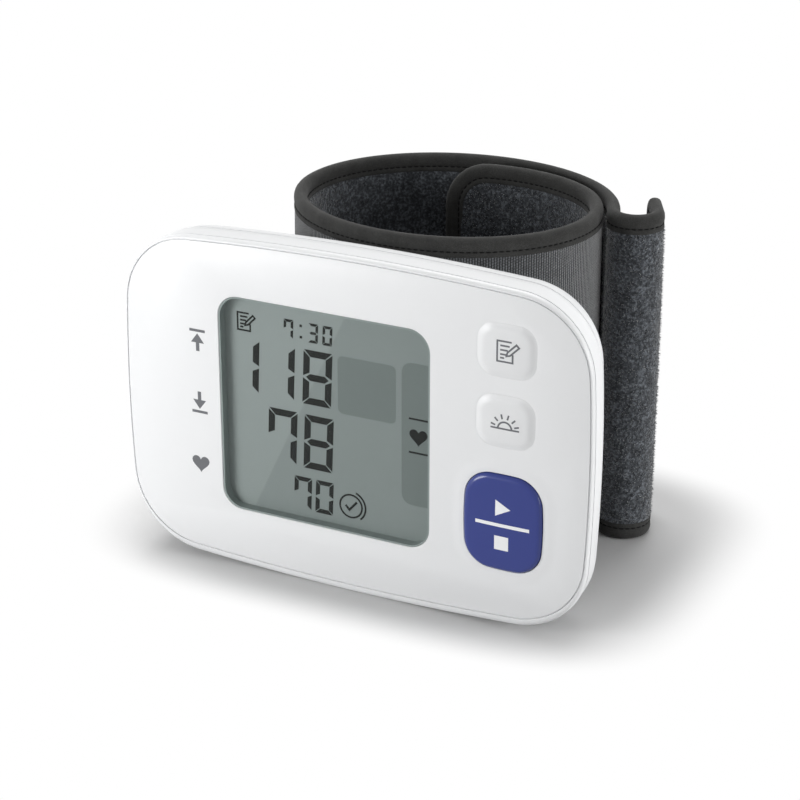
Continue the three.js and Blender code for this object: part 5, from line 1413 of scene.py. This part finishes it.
def pile_tree():
    tree, given, out = shape_tree("brushed pile", PILE_SIZES)
    scatter = add_node(tree, "GeometryNodeDistributePointsOnFaces", distribute_method="RANDOM",
                       Mesh=given["Geometry"], Density=given["Density"], Seed=7)
    fibre = add_node(tree, "GeometryNodeMeshCone", fill_type="NGON", Vertices=3, Depth=given["Fibre Length"],
                     Radius_Bottom=given["Fibre Radius"])
    lean = add_node(tree, "FunctionNodeRandomValue", data_type="FLOAT_VECTOR", Seed=3)
    lean.inputs[0].default_value = [-most for most in MOST_LEAN]
    lean.inputs[1].default_value = MOST_LEAN
    turned = add_node(tree, "FunctionNodeRotateRotation", rotation_space="LOCAL",
                      Rotation=scatter.outputs["Rotation"], Rotate_By=lean.outputs[0])
    copies = add_node(tree, "GeometryNodeInstanceOnPoints", Points=scatter.outputs["Points"],
                      Instance=fibre.outputs["Mesh"], Rotation=turned.outputs[0])
    finish_tree(tree, copies, out, PILE_FIBRE)
    return tree


def pile_ground(name, start, end):
    """The lining's face as one open grid that looks inwards, for the fibres to stand on."""
    grid, _, _ = strip_grid(start, end, -HALF, UNDER_TAPE + PILE_MARGIN, SWELL)
    return plain_object(name, grid.reshape(-1, 3), [], grid_faces(*grid.shape[:2]))


BRUSHED_PILE = pile_tree()
for length_name in PILE_LENGTHS:
    fur = grown(pile_ground(f"cuff_{length_name}_pile", *CUFF_LENGTHS[length_name]), BRUSHED_PILE, PILE_SIZES)
    sewn_in(fur, PILE_FIBRE, length_name, sharp=180)
    print(fur.name, len(fur.data.polygons), "faces")

# %% [markdown]
# ## Soft pieces
# The outer cloth and the lining of each length are stretched over a thin padded core, with the
# tape, the stitches and the fibres sewn to them. The code here works out and prints the cut length
# and height of each length's strip.

def flat_size(name):
    """Cut length and height of a strip in metres, and its flat area."""
    _, length, level = strip_grid(*CUFF_LENGTHS[name], HALF, UNDER_TAPE)
    height = level[:, -1] - level[:, 0]
    area = float(np.sum((height[1:] + height[:-1]) / 2 * np.diff(length)))
    return float(length[-1] - length[0]) * MM, float(height.max()) * MM, area * MM * MM


for length_name in CUFF_LENGTHS:
    long, high, area = flat_size(length_name)
    print(length_name, "cut", round(long / MM, 1), "x", round(high / MM, 1), "mm")

# %% [markdown]
# ## Hook patch
# The tail closes on a patch of hook tape on the outside of the band. It is a thin strip like the
# other layers, a little above the cloth. Real hooks could be scattered like the fibres, but they
# are too small to be seen, so the finish shows them as a bump.

# %% Hook patch
PATCH_START, PATCH_END = 22, 64
PATCH_OUTER, PATCH_INNER, PATCH_MARGIN = HALF + 0.5, HALF + 0.1, 7.5

patch = band_strip("hook_tape", at_turn(PATCH_START), at_turn(PATCH_END), PATCH_OUTER, PATCH_INNER,
                   PATCH_MARGIN, 0)
dressed(patch, HOOK_TAPE, "root", ["hook_patch"])
print("hook patch faces", len(patch.data.polygons))

# %% [markdown]
# ## Floor and light
# Near the object the floor is a pale grey, which paints shade round the object and deepens its real
# shadow. Further out it turns into plain white for the camera and in reflections, and so does the
# world, which gives a lower, even light to everything else. A white wall could be the background
# too, but it would add light to the object.
# Three soft lamps stand above and behind, in front at the left, and at the right.

# %% Floor and world
FLOOR_REACH = 3
PAINTED_SHADE_REACH = {"X": 0.05, "Y": 0.037}
PAINTED_SHADE_FADE_START, PAINTED_SHADE_FADE_END, SQUARENESS = 0.9, 1.24, 4
WHITE = (1, 1, 1, 1)
WORLD_LIGHT = 0.31


def seen_directly(tree):
    """One for rays from the camera, from gloss and through glass, as a socket."""
    rays = add_node(tree, "ShaderNodeLightPath")
    gloss = calculate(tree, "MAXIMUM", rays.outputs["Is Camera Ray"], rays.outputs["Is Glossy Ray"])
    return calculate(tree, "MAXIMUM", gloss, rays.outputs["Is Transmission Ray"])


def studio_floor():
    # The grey floor colour near the object is painted shade that deepens its real shadow; further out, white
    # emission takes its place for the camera and in reflections.
    material, tree, shader = finish_material("studio floor", "#d2d2d2", 0.8, Specular_IOR_Level=0.1)
    place = axes(tree, object_place(tree))
    sides = []
    for axis, reach in PAINTED_SHADE_REACH.items():
        share = calculate(tree, "ABSOLUTE", calculate(tree, "DIVIDE", place[axis], reach))
        sides.append(calculate(tree, "POWER", share, SQUARENESS))
    away = calculate(tree, "POWER", calculate(tree, "ADD", *sides), 1 / SQUARENESS)
    beyond_painted_shade = soft_step(tree, away, PAINTED_SHADE_FADE_START, PAINTED_SHADE_FADE_END)
    white = add_node(tree, "ShaderNodeEmission", Color=WHITE, Strength=1.0)
    mixed = add_node(tree, "ShaderNodeMixShader", Fac=calculate(tree, "MULTIPLY", beyond_painted_shade, seen_directly(tree)))
    feed(tree, mixed.inputs[1], shader.outputs[0])
    feed(tree, mixed.inputs[2], white.outputs[0])
    connect(tree, tree.nodes["Material Output"], Surface=mixed.outputs[0])
    return material


floor_corners = [(x * FLOOR_REACH, y * FLOOR_REACH, 0) for x, y in ((-1, -1), (1, -1), (1, 1), (-1, 1))]
floor = mesh_object("floor", floor_corners, [(0, 1, 2, 3)])
floor.data.materials.append(studio_floor())
world = bpy.data.worlds.new("studio")
bpy.context.scene.world = world
world.use_nodes = True
sky = world.node_tree
sky_level = add_node(sky, "ShaderNodeMapRange", Value=seen_directly(sky), To_Min=WORLD_LIGHT, To_Max=1.0)
connect(sky, sky.nodes["Background"], Color=WHITE, Strength=sky_level.outputs["Result"])
print("floor", 2 * FLOOR_REACH, "m wide, world light", WORLD_LIGHT)

# %% Lamps
LAMP_AIM = Vector((0.0, 0.0, 0.03))
LAMPS = {"top lamp": ((-0.10, 0.30, 0.62), 0.5, 2.9), "front lamp": ((-0.26, -0.31, 0.11), 0.2, 1.08),
         "right lamp": ((0.6, 0.06, 0.10), 0.3, 2.3)}

for name, (place, size, power) in LAMPS.items():
    lamp_data = bpy.data.lights.new(name, "AREA")
    lamp_data.shape, lamp_data.size, lamp_data.energy = "DISK", size, power
    lamp = bpy.data.objects.new(name, lamp_data)
    lamp.location = place
    lamp.rotation_mode = "QUATERNION"
    lamp.rotation_quaternion = (LAMP_AIM - Vector(place)).to_track_quat("-Z", "Y")
    bpy.context.collection.objects.link(lamp)
print("lamps", len(bpy.data.lights))
